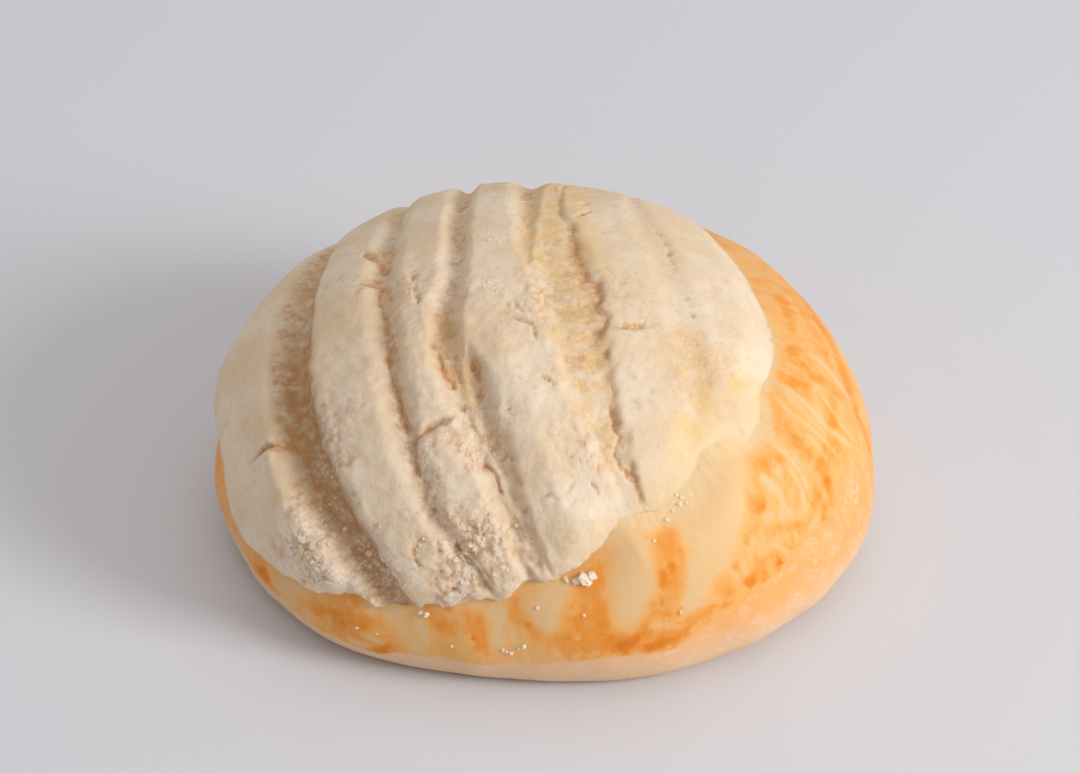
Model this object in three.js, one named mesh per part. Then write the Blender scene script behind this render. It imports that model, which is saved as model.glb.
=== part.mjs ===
// A concha: a small sweet bun under a scored crust of sugar paste.
// Millimetres, +Z up, the front of the bun towards -Y. The origin is the middle of its flat base.
//
// Both pieces are worked out on the bun's own skin. A place on the skin is given as it would lie if the
// skin were rolled out flat from the crown: [right, back] in millimetres along the surface.
import * as THREE from "three";
import { ImprovedNoise } from "three/addons/math/ImprovedNoise.js";
import { mergeVertices } from "three/addons/utils/BufferGeometryUtils.js";

// ---- The bun's form, over the crust ----
const HALF_WIDTH = 43.2; // at the widest line, left to right
const HALF_DEPTH = 39.0; // front to back
const HEIGHT = 40.5; // at the crown
const PLAN_TURN = THREE.MathUtils.degToRad(-4); // the long axis runs slightly from back left to front right
const PLAN_SQUARENESS = 2.08; // 2 is an ellipse
const PLAN_TRIANGLE = -0.015; // share of the radius by which the plan is three-cornered
const PLAN_CORNERS = 0.008; // share by which it has six soft corners, as the dough spread on the tray
const PLAN_CORNERS_FROM = THREE.MathUtils.degToRad(229);
const DOME_SQUARENESS = 2.1;
const WIDEST_HEIGHT = 9.9; // of the widest line, on average
const WIDEST_TILT = 0.19; // share by which that line rises at the back left and falls at the front right
const WIDEST_TILT_FROM = THREE.MathUtils.degToRad(150);
const FOOT_SHARE = 0.875; // the flat base's radius, as a share of the widest

// ---- The sugar crust ----
const CRUST_BED = 2.9; // depth of the crust's bed in the dough
const BED_OUTSIDE = 8; // how far outside the crust's rim the dough starts to sink towards its bed
const BED_INSIDE = 6; // how far inside the rim the bed is at its full depth
const CREST_RISE = 0.35; // how far the ridges stand over the bun's form
const EDGE_ROUND = 3.2; // how far in from its rim the crust rounds over
const THINNEST = 0.5; // of the crust, at its rim and in the deepest cracks
const GAP = 0.3; // between the crust and the dough under it

// The crust's rim in four sides, as [right, back] on the rolled-out skin.
const RIM_FRONT = [
  [-45, -37.5],
  [-38, -42.6],
  [-32, -43.6],
  [-29, -46.8],
  [-22, -48.3],
  [-14, -48.9],
  [-7, -48.7],
  [-1, -46.6],
  [4, -45.4],
  [8.5, -42],
  [11, -37.6],
  [16, -36],
  [21, -31],
  [22.8, -26.2],
  [25.6, -23.8],
  [29.2, -22.6],
];
const RIM_RIGHT = [
  [29.2, -22.6],
  [30.6, -18.6],
  [30.3, -14.4],
  [31.6, -10.2],
  [32.3, -5.4],
  [31.8, -1],
  [30.4, 4],
  [28.8, 12],
  [26.2, 19.6],
  [22.5, 25.5],
];
const RIM_BACK = [
  [-42, 32],
  [-33, 38.5],
  [-23, 42],
  [-12, 42],
  [-2, 39.4],
  [6, 35],
  [14, 30.6],
  [22.5, 25.5],
];
const RIM_LEFT = [
  [-45, -37.5],
  [-50.5, -31.5],
  [-55, -22],
  [-52.5, -14],
  [-52.8, -7],
  [-54.5, 2],
  [-53, 13],
  [-49, 23],
  [-42, 32],
];

// The scored lines from the crust's front to its back, left to right, as [right, back, reach]: the reach is
// the distance from the line to the untouched ridge, and the depth is the reach times the steepness.
// A score is a knife line with puffed sides, a valley is broad and round, a trough has a flat crumbly floor,
// and a crack is a narrow tear.
const SCORES = [
  {
    kind: "valley",
    steepness: 0.62,
    line: [
      [-24.4, -48, 3.8],
      [-28.2, -39, 4.4],
      [-32.2, -27, 4.7],
      [-34.2, -16, 4.7],
      [-34.2, -4, 4.7],
      [-32.4, 9, 4.2],
      [-29.6, 24, 3.2],
      [-26.6, 39, 2],
    ],
  },
  {
    kind: "score",
    steepness: 0.62,
    line: [
      [-7.2, -48.6, 2.4],
      [-11.6, -42.5, 2.6],
      [-15.8, -35.5, 3],
      [-18.3, -25, 3.2],
      [-19.9, -12, 3.2],
      [-20.7, 0, 3],
      [-20, 14, 2.6],
      [-19, 28, 2],
      [-17.6, 42, 1.6],
    ],
  },
  {
    kind: "valley",
    steepness: 0.54,
    line: [
      [-1.6, -46.8, 1.6],
      [-4.2, -40, 1.9],
      [-7.2, -32.4, 2.3],
      [-9.6, -25.4, 2.3],
      [-12, -17, 2.7],
      [-12.6, -12, 2.9],
      [-12, -6, 2.7],
      [-11.3, 0, 2.4],
      [-11.1, 8, 2.3],
      [-10.8, 22, 2.3],
      [-9.8, 42, 1.6],
    ],
  },
  {
    kind: "score",
    steepness: 0.76,
    line: [
      [1.6, -45.8, 1.2],
      [-1.4, -40, 1.8],
      [-4.5, -34.2, 2.8],
      [-6.8, -27.6, 3.1],
      [-8.6, -20.6, 3.1],
      [-9.5, -16.6, 2],
      [-9.7, -14.4, 0.3],
      [-9, -4, 0.1],
      [-8.6, 8, 0.1],
      [-8.2, 24, 0.1],
      [-7, 41, 0.1],
    ],
  },
  {
    kind: "valley",
    steepness: 0.4,
    line: [
      [8.8, -40.4, 0.1],
      [7.4, -35.4, 0.1],
      [5.4, -28.6, 0.1],
      [2, -22, 0.1],
      [0, -16, 0.1],
      [-1.4, -10, 0.1],
      [-1.9, -2, 0.3],
      [-1.9, 3, 1.8],
      [-1.9, 12, 2.6],
      [-1.8, 26, 3],
      [-1, 38.4, 1.8],
    ],
  },
  {
    kind: "crack",
    steepness: 0.8,
    line: [
      [15.2, -36.2, 1],
      [12.6, -32.4, 1.4],
      [10.2, -26, 1.5],
      [8.4, -19.2, 1.6],
      [7.8, -11.8, 1.8],
      [6.6, -4, 2],
      [5, 1.6, 2.1],
      [4.5, 8, 2.1],
      [3.1, 14, 1.7],
      [3, 24, 0.9],
      [5.6, 34.6, 0.3],
    ],
  },
  {
    kind: "valley",
    steepness: 0.2,
    line: [
      [21.6, -29.4, 2],
      [20.9, -20.4, 2.8],
      [19, -11.4, 2.8],
      [17, -3, 2.8],
      [15.2, 5, 2.8],
      [13.2, 13, 2.4],
      [12.2, 21, 1.4],
      [12.6, 27.8, 1],
    ],
  },
];

// The floors between ridges that stand well apart: the crust was stretched thin and crumbled there.
const FLOORS = [
  {
    kind: "trough",
    steepness: 0.5,
    line: [
      [-1.2, -43, 1.8],
      [-5.9, -33, 2.5],
      [-8.5, -25.6, 2.5],
      [-10.6, -18.5, 2.2],
      [-11.4, -13, 0.9],
    ],
  },
  {
    kind: "trough",
    steepness: 0.24,
    line: [
      [12.6, -36, 1.6],
      [9.2, -29.5, 2.7],
      [6.2, -21, 3.8],
      [4.3, -12, 4.7],
      [2.7, -3, 4.7],
      [1.7, 6, 4],
      [1.2, 16, 2.2],
      [1.2, 24, 0.9],
    ],
  },
];

// Tears across the ridges.
const TEARS = [
  {
    kind: "crack",
    steepness: 0.95,
    line: [
      [-44, -19.4, 0.3],
      [-38.6, -20.4, 1.6],
      [-35, -22.2, 1.6],
      [-31.4, -21.8, 0.4],
    ],
  },
  {
    kind: "crack",
    steepness: 0.95,
    line: [
      [-25, 8.5, 0.4],
      [-22, 5.4, 1.8],
      [-19.6, 0.6, 1],
    ],
  },
  {
    kind: "crack",
    steepness: 0.95,
    line: [
      [-25.4, 0.8, 0.4],
      [-22, -0.6, 1.7],
      [-19.6, -1.6, 1],
    ],
  },
  {
    kind: "crack",
    steepness: 0.95,
    line: [
      [-18, -27.4, 0.6],
      [-14, -25.3, 1.6],
      [-10.4, -23.8, 0.8],
    ],
  },
  {
    kind: "crack",
    steepness: 0.7,
    line: [
      [5.8, -10.2, 1],
      [10.6, -11.8, 1.2],
      [14.6, -10.4, 0.6],
    ],
  },
];

// Where the crust has crumbled: its surface is broken and slightly worn away there.
const CRUMBLED = [
  { middle: [-35.5, -34], radius: 9, wear: 0.5 },
  { middle: [-12, -42], radius: 10, wear: 0.5 },
  { middle: [-13, -10], radius: 8, wear: 0.2 },
  { middle: [3, -8], radius: 9, wear: 0.1 },
  { middle: [6.5, -29], radius: 7, wear: 0.2 },
  { middle: [21.5, -17], radius: 7, wear: 0.4 },
];
const CRUMB_SIZE = 4.2; // of the lumps in the crumbled places
const CRUMB_HEIGHT = 0.9;
const WAVE_SIZE = 11; // of the slow unevenness over the whole bun
const WAVE_HEIGHT = 0.45;

// ---- Fineness of the faces ----
const TURNS = 56; // faces round the bun
const DOME_STEPS = 20; // faces from the crown to the widest line
const UNDER_STEPS = 6; // from there to the base
const STRIP_FACES = [12, 10, 8, 4, 8, 6, 14, 12]; // faces across each strip between the scored lines, all even
const ROWS = 54; // of faces along the strips, an even number
const ARC_STEPS = 90;

const BREAD_COLOUR = "#d9954a";
const SUGAR_COLOUR = "#e3cfaa";

const noise = new ImprovedNoise();
const { clamp, lerp, smoothstep } = THREE.MathUtils;

// ---- The form ----

/** Plan radius of the widest line in a direction. */
function planRadius(angle) {
  const turned = angle - PLAN_TURN;
  const along = Math.abs(Math.cos(turned)) / HALF_WIDTH;
  const across = Math.abs(Math.sin(turned)) / HALF_DEPTH;
  const radius = (along ** PLAN_SQUARENESS + across ** PLAN_SQUARENESS) ** (-1 / PLAN_SQUARENESS);
  const corners = PLAN_CORNERS * Math.cos(6 * (angle - PLAN_CORNERS_FROM));
  return radius * (1 + PLAN_TRIANGLE * Math.sin(3 * angle) + corners);
}

/** Height of the widest line in a direction. */
function widestHeight(angle) {
  return WIDEST_HEIGHT * (1 + WIDEST_TILT * Math.cos(angle - WIDEST_TILT_FROM));
}

/** A point of the outline in one direction: 0 is the crown, 1 the widest line and 2 the edge of the base. */
function outlinePoint(angle, place) {
  const radius = planRadius(angle);
  const widest = widestHeight(angle);
  let out, up;
  if (place <= 1) {
    const swing = (place * Math.PI) / 2;
    out = radius * Math.sin(swing) ** (2 / DOME_SQUARENESS);
    up = widest + (HEIGHT - widest) * Math.max(Math.cos(swing), 0) ** (2 / DOME_SQUARENESS);
  } else {
    const swing = ((place - 1) * Math.PI) / 2;
    out = radius * (FOOT_SHARE + (1 - FOOT_SHARE) * Math.cos(swing));
    up = widest * (1 - Math.sin(swing));
  }
  return new THREE.Vector3(out * Math.cos(angle), out * Math.sin(angle), up);
}

/** The outline in one direction as steps of arc: the distance from the crown and the place at each. */
function arcOf(angle) {
  const arc = [{ length: 0, place: 0 }];
  let last = outlinePoint(angle, 0);
  for (let step = 1; step <= 2 * ARC_STEPS; step++) {
    const place = step / ARC_STEPS;
    const next = outlinePoint(angle, place);
    arc.push({ length: arc[step - 1].length + last.distanceTo(next), place });
    last = next;
  }
  return arc;
}

/** The distance from the crown to a place on the outline. */
function arcLength(angle, place) {
  const arc = arcOf(angle);
  const step = Math.min(Math.floor(place * ARC_STEPS), arc.length - 2);
  return lerp(arc[step].length, arc[step + 1].length, place * ARC_STEPS - step);
}

/** The point of the form at a place on the rolled-out skin. */
function formPoint(right, back) {
  const angle = Math.atan2(back, right);
  const distance = Math.hypot(right, back);
  const arc = arcOf(angle);
  let step = 1;
  while (step < arc.length - 1 && arc[step].length < distance) step++;
  const before = arc[step - 1];
  const share = (distance - before.length) / (arc[step].length - before.length);
  return outlinePoint(angle, lerp(before.place, arc[step].place, Math.min(share, 1)));
}

/** The direction out of the form there. */
function formNormal(right, back) {
  const step = 0.2;
  const across = formPoint(right + step, back).sub(formPoint(right - step, back));
  const along = formPoint(right, back + step).sub(formPoint(right, back - step));
  return across.cross(along).normalize();
}

/** Slow unevenness of the baked surface. */
function wave(right, back) {
  return WAVE_HEIGHT * noise.noise(right / WAVE_SIZE, back / WAVE_SIZE, 0.5);
}

// ---- Lines on the rolled-out skin ----

/** A smooth line through places of the skin, each [right, back] or [right, back, reach]. */
function skinLine(points) {
  return new THREE.CatmullRomCurve3(points.map(([right, back, reach = 0]) => new THREE.Vector3(right, back, reach)));
}

/** The nearest point of a chain: its distance, the share of the chain before it and the reach there. */
function nearest(chain, right, back) {
  let best = { distance: Infinity };
  for (let i = 0; i < chain.length - 1; i++) {
    const [from, to] = [chain[i], chain[i + 1]];
    const [dx, dy] = [to.x - from.x, to.y - from.y];
    const along = ((right - from.x) * dx + (back - from.y) * dy) / (dx * dx + dy * dy);
    const share = clamp(along, 0, 1);
    const distance = Math.hypot(right - from.x - dx * share, back - from.y - dy * share);
    if (distance < best.distance)
      best = { distance, along: (i + share) / (chain.length - 1), reach: lerp(from.z, to.z, share) };
  }
  return best;
}

const rimFront = skinLine(RIM_FRONT);
const rimBack = skinLine(RIM_BACK);
const rimLeft = skinLine(RIM_LEFT);
const rimRight = skinLine(RIM_RIGHT);
const RIM_SPANS = 60; // of each side
const rimFrontChain = rimFront.getSpacedPoints(RIM_SPANS);
const rimBackChain = rimBack.getSpacedPoints(RIM_SPANS);
const rim = [
  ...rimFrontChain,
  ...rimRight.getSpacedPoints(RIM_SPANS).slice(1),
  ...[...rimBackChain].reverse().slice(1),
  ...rimLeft.getSpacedPoints(RIM_SPANS).reverse().slice(1),
];

/** How far inside the crust's rim a place is; negative outside. */
function insideRim(right, back) {
  let inside = false;
  for (let i = 0; i < rim.length - 1; i++) {
    const [p, q] = [rim[i], rim[i + 1]];
    if (p.y > back !== q.y > back && right < p.x + ((q.x - p.x) * (back - p.y)) / (q.y - p.y)) inside = !inside;
  }
  const { distance } = nearest(rim, right, back);
  return inside ? distance : -distance;
}

// ---- The crust's relief ----

const CUT_SPANS = 28;
const cuts = [...SCORES, ...FLOORS, ...TEARS].map((cut) => ({
  ...cut,
  chain: skinLine(cut.line).getSpacedPoints(CUT_SPANS),
}));

/** The share of a cut's full depth at a share of its reach. */
const CUT_PROFILES = {
  score: (share) => 1 - Math.sqrt(1 - (1 - share) ** 2),
  valley: (share) => (1 + Math.cos(Math.PI * share)) / 2,
  trough: (share) => 1 - smoothstep(share, 0.55, 1),
  crack: (share) => (1 - share) ** 1.5,
};

/** How deep the scores, floors and tears go at a place, below the ridges' crests. */
function cutDepth(right, back) {
  let deepest = 0;
  for (const { chain, steepness, kind } of cuts) {
    const { distance, reach } = nearest(chain, right, back);
    if (distance >= reach) continue;
    deepest = Math.max(deepest, steepness * reach * CUT_PROFILES[kind](distance / reach));
  }
  return deepest;
}

/** Broken lumps and wear in the crumbled places. */
function crumbling(right, back) {
  let height = 0;
  for (const { middle, radius, wear } of CRUMBLED) {
    const share = Math.hypot(right - middle[0], back - middle[1]) / radius;
    const strength = 1 - smoothstep(share, 0.4, 1);
    const lump = noise.noise(right / CRUMB_SIZE, back / CRUMB_SIZE, 3.5);
    height += strength * (CRUMB_HEIGHT * lump - wear);
  }
  return height;
}

/** Depth of the bed that the crust sinks into the dough. */
function bedDepth(inside) {
  return CRUST_BED * smoothstep(inside, -BED_OUTSIDE, BED_INSIDE);
}

/** Thickness of the crust at a place inside its rim. */
function crustThickness(right, back, inside) {
  const body = bedDepth(inside) - GAP + CREST_RISE - cutDepth(right, back) + crumbling(right, back);
  const share = Math.min(inside / EDGE_ROUND, 1);
  const rounding = Math.sqrt(Math.max(1 - (1 - share) ** 2, 0));
  return Math.max(THINNEST + (body - THINNEST) * rounding, THINNEST);
}

/** A point of the dough's surface, or above it by a height. */
function doughPoint(right, back, inside, height = 0) {
  const lift = height - bedDepth(inside) + wave(right, back);
  return formPoint(right, back).addScaledVector(formNormal(right, back), lift);
}

// ---- The two pieces ----

/** The bun: the outline swept round, uneven, and sunk where the crust lies. */
function bunGeometry() {
  const places = []; // from the edge of the base up to the crown
  for (let i = UNDER_STEPS; i > 0; i--) places.push(1 + i / UNDER_STEPS);
  for (let i = DOME_STEPS; i >= 0; i--) places.push(i / DOME_STEPS);
  const outline = [new THREE.Vector2(0, -2), ...places.map((place) => new THREE.Vector2(place, -place))];
  const geometry = new THREE.LatheGeometry(outline, TURNS);
  const position = geometry.getAttribute("position");
  for (let i = 0; i < position.count; i++) {
    const angle = (Math.floor(i / outline.length) % TURNS) * ((2 * Math.PI) / TURNS);
    const step = i % outline.length;
    const point = step === 0 ? new THREE.Vector3() : bunPoint(angle, places[step - 1]);
    position.setXYZ(i, ...point.toArray());
  }
  return closed(geometry);
}

/** One vertex of the bun. */
function bunPoint(angle, place) {
  if (place === 2) return outlinePoint(angle, 2).setZ(0);
  const distance = arcLength(angle, place);
  const [right, back] = [distance * Math.cos(angle), distance * Math.sin(angle)];
  const settled = smoothstep(2 - place, 0, 0.8); // the dough is flat where it sat on the tray
  const raised = doughPoint(right, back, insideRim(right, back));
  return outlinePoint(angle, place).lerp(raised, settled);
}

/** A share pushed towards its ends, so that faces are finer near the lines they start from. */
function crowd(share, strength) {
  return lerp(share, (1 - Math.cos(Math.PI * share)) / 2, strength);
}

/** The lines that bound the strips: the rim's left side, the scored lines and the rim's right side. */
const stripLines = [
  { front: 0, back: 0, curve: rimLeft },
  ...SCORES.map(({ line }) => {
    const front = nearest(rimFrontChain, ...line.at(0)).along;
    const back = nearest(rimBackChain, ...line.at(-1)).along;
    const places = line.map(([right, along]) => [right, along]);
    places[0] = rimFront.getPointAt(front).toArray();
    places[places.length - 1] = rimBack.getPointAt(back).toArray();
    return { front, back, curve: skinLine(places) };
  }),
  { front: 1, back: 1, curve: rimRight },
];

/** A place on the crust, blended from the four sides of its strip. */
function crustPlace(strip, across, along) {
  const [left, right] = [stripLines[strip], stripLines[strip + 1]];
  const front = rimFront.getPointAt(lerp(left.front, right.front, across));
  const back = rimBack.getPointAt(lerp(left.back, right.back, across));
  const sides = left.curve.getPointAt(along).lerp(right.curve.getPointAt(along), across);
  const frontCorners = left.curve.getPointAt(0).lerp(right.curve.getPointAt(0), across);
  const backCorners = left.curve.getPointAt(1).lerp(right.curve.getPointAt(1), across);
  return front.lerp(back, along).add(sides).sub(frontCorners.lerp(backCorners, along));
}

/** The crust's places as a grid of rows, each from the left rim to the right rim. */
function crustPlaces(rows, finer) {
  const grid = [];
  for (let j = 0; j <= rows; j++) {
    const along = crowd(j / rows, 0.3);
    const row = [crustPlace(0, 0, along)];
    STRIP_FACES.forEach((faces, strip) => {
      const count = faces / finer;
      for (let i = 1; i <= count; i++) row.push(crustPlace(strip, crowd(i / count, 0.4), along));
    });
    grid.push(row);
  }
  return grid;
}

/** The sugar crust: a fine top and a coarser underside, sewn together round the rim. */
function crustGeometry() {
  const points = [];
  const faces = [];
  const layer = (grid, onTop) => {
    const first = points.length;
    const [rows, columns] = [grid.length - 1, grid[0].length - 1];
    grid.forEach((row, j) =>
      row.forEach(({ x, y }, i) => {
        const onRim = i === 0 || i === columns || j === 0 || j === rows;
        const inside = onRim ? 0 : Math.max(insideRim(x, y), 0);
        points.push(doughPoint(x, y, inside, GAP + (onTop ? crustThickness(x, y, inside) : 0)));
      }),
    );
    const at = (i, j) => first + j * (columns + 1) + i;
    for (let j = 0; j < rows; j++)
      for (let i = 0; i < columns; i++) {
        const [a, b, c, d] = [at(i, j), at(i + 1, j), at(i + 1, j + 1), at(i, j + 1)];
        if (onTop) faces.push([a, b, c], [a, c, d]);
        else faces.push([a, c, b], [a, d, c]);
      }
    const loop = [];
    for (let i = 0; i < columns; i++) loop.push(at(i, 0));
    for (let j = 0; j < rows; j++) loop.push(at(columns, j));
    for (let i = columns; i > 0; i--) loop.push(at(i, rows));
    for (let j = rows; j > 0; j--) loop.push(at(0, j));
    return loop;
  };
  const top = layer(crustPlaces(ROWS, 1), true);
  const under = layer(crustPlaces(ROWS / 2, 2), false);
  under.forEach((corner, k) => {
    const next = under[(k + 1) % under.length];
    const [first, middle, last] = [top[2 * k], top[2 * k + 1], top[(2 * k + 2) % top.length]];
    faces.push([corner, middle, first], [corner, next, middle], [next, last, middle]);
  });
  const geometry = new THREE.BufferGeometry().setFromPoints(points);
  geometry.setIndex(faces.flat());
  return closed(geometry);
}

/** The geometry with only its positions, shared vertices merged and normals made again. */
function closed(geometry) {
  geometry.deleteAttribute("normal");
  geometry.deleteAttribute("uv");
  const merged = mergeVertices(geometry, 1e-3);
  merged.computeVertexNormals();
  return merged;
}

function piece(name, geometry, color, roughness) {
  const mesh = new THREE.Mesh(geometry, new THREE.MeshStandardMaterial({ color, roughness, metalness: 0 }));
  mesh.name = name;
  return mesh;
}

const concha = new THREE.Group();
concha.add(piece("bun", bunGeometry(), BREAD_COLOUR, 0.55));
concha.add(piece("sugar_crust", crustGeometry(), SUGAR_COLOUR, 0.95));

export default concha;
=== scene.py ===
"""A concha on a pale floor: a small sweet bun, egg-washed and baked, under a scored crust of sugar paste.

Lengths are in millimetres until a mesh is written, which is in metres. A place on the bun is given as it
would lie if its skin were rolled out flat from the crown: [right, back].
"""

import logging
import math
from dataclasses import dataclass, field
from enum import Enum
from typing import Any, Sequence

import bmesh
import bpy
import numpy as np
from mathutils import Euler, Matrix, Vector, noise


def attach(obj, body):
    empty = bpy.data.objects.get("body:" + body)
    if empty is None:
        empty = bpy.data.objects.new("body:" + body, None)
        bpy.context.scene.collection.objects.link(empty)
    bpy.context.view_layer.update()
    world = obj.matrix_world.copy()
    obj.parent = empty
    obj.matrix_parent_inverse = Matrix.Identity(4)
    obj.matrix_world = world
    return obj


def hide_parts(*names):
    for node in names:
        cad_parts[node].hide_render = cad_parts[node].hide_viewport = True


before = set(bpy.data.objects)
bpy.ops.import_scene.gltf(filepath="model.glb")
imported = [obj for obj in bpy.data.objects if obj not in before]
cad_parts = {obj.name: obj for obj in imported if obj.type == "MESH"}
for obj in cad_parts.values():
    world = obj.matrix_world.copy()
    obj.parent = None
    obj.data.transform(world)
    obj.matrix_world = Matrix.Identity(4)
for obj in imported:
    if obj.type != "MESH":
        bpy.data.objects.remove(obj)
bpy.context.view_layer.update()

log = logging.getLogger("concha")
MM = 0.001
SEED = 7

Line = tuple[tuple[float, float, float], ...]


# ------------------------------------------------------------------------------------- small helpers


def smoothstep(value: np.ndarray, low: float, high: float) -> np.ndarray:
    """The smooth step from 0 at low to 1 at high."""
    share = np.clip((value - low) / (high - low), 0.0, 1.0)
    return share * share * (3.0 - 2.0 * share)


def mix(low: Any, high: Any, share: Any) -> Any:
    """Between low and high by a share."""
    return low + (high - low) * share


def grain(points: np.ndarray, size: float, layer: float = 0.0, basis: str = "PERLIN_NEW") -> np.ndarray:
    """Noise at points, from -1 to 1.

    Args:
        points: An array of n points of two or three coordinates; with two, the layer is the third.
        size: The size of the lumps.
        layer: Moves the noise, so that two layers differ.
        basis: Blender's name of the noise.

    Returns:
        An array of n values.
    """
    scaled = points / size
    if points.shape[1] == 2:
        scaled = np.column_stack([scaled, np.full(len(points), layer)])
    else:
        scaled = scaled + np.array([layer * 17.3, layer * 5.7, layer * 11.9])
    return np.fromiter((noise.noise(p, noise_basis=basis) for p in scaled.tolist()), float, len(points))


def layered(points: np.ndarray, size: float, layers: int, layer: float = 0.0) -> np.ndarray:
    """Noise of several sizes, each layer half the size and a little over half the height of the last."""
    return sum(0.55**k * grain(points, size / 2**k, layer + k) for k in range(layers))


def lumps(points: np.ndarray, size: float, layer: float = 0.0, seam: float = 0.3) -> np.ndarray:
    """Uneven lumps packed side by side, 1 on their tops and 0 in the seams between them.

    Args:
        points: Points of three coordinates.
        size: The size of the lumps.
        layer: Moves the noise.
        seam: How wide the seams are.

    Returns:
        An array of n values.
    """
    warp = np.column_stack([grain(points, size * 0.8, layer + k) for k in (0.2, 0.4, 0.6)])
    gap = (grain(points + 0.3 * size * warp, size, layer, "VORONOI_F2F1") + 1.0) / 2.0
    return smoothstep(gap, 0.0, seam)


def waver(plain: np.ndarray, waves: Sequence[tuple[float, float, int]]) -> np.ndarray:
    """A sideways shift of places, as a sum of waves: [reach, size, layer].

    Args:
        plain: Points on the bun's form.
        waves: The waves.

    Returns:
        An array of n shifts.
    """
    return sum(
        reach * np.column_stack([grain(plain, size, layer), grain(plain, size, layer + 1)])
        for reach, size, layer in waves
    )


@dataclass(frozen=True)
class Unevenness:
    """Noise used as a height: how high and how wide its lumps are, its first layer and how many it has."""

    height: float
    size: float
    layer: float
    layers: int = 1

    def at(self, points: np.ndarray, share: Any = 1.0) -> np.ndarray:
        """Its height at points, times a share."""
        return self.height * share * layered(points, self.size, self.layers, self.layer)


def linear(hex_colour: str) -> tuple[float, float, float, float]:
    """The linear colour of an sRGB hex value such as #d9b48c.

    Args:
        hex_colour: The value, with its #.

    Returns:
        Red, green, blue and alpha.
    """
    values = [int(hex_colour[i : i + 2], 16) / 255.0 for i in (1, 3, 5)]
    red, green, blue = (v / 12.92 if v <= 0.04045 else ((v + 0.055) / 1.055) ** 2.4 for v in values)
    return (red, green, blue, 1.0)


# ------------------------------------------------------------------------------------ the bun's form


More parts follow.
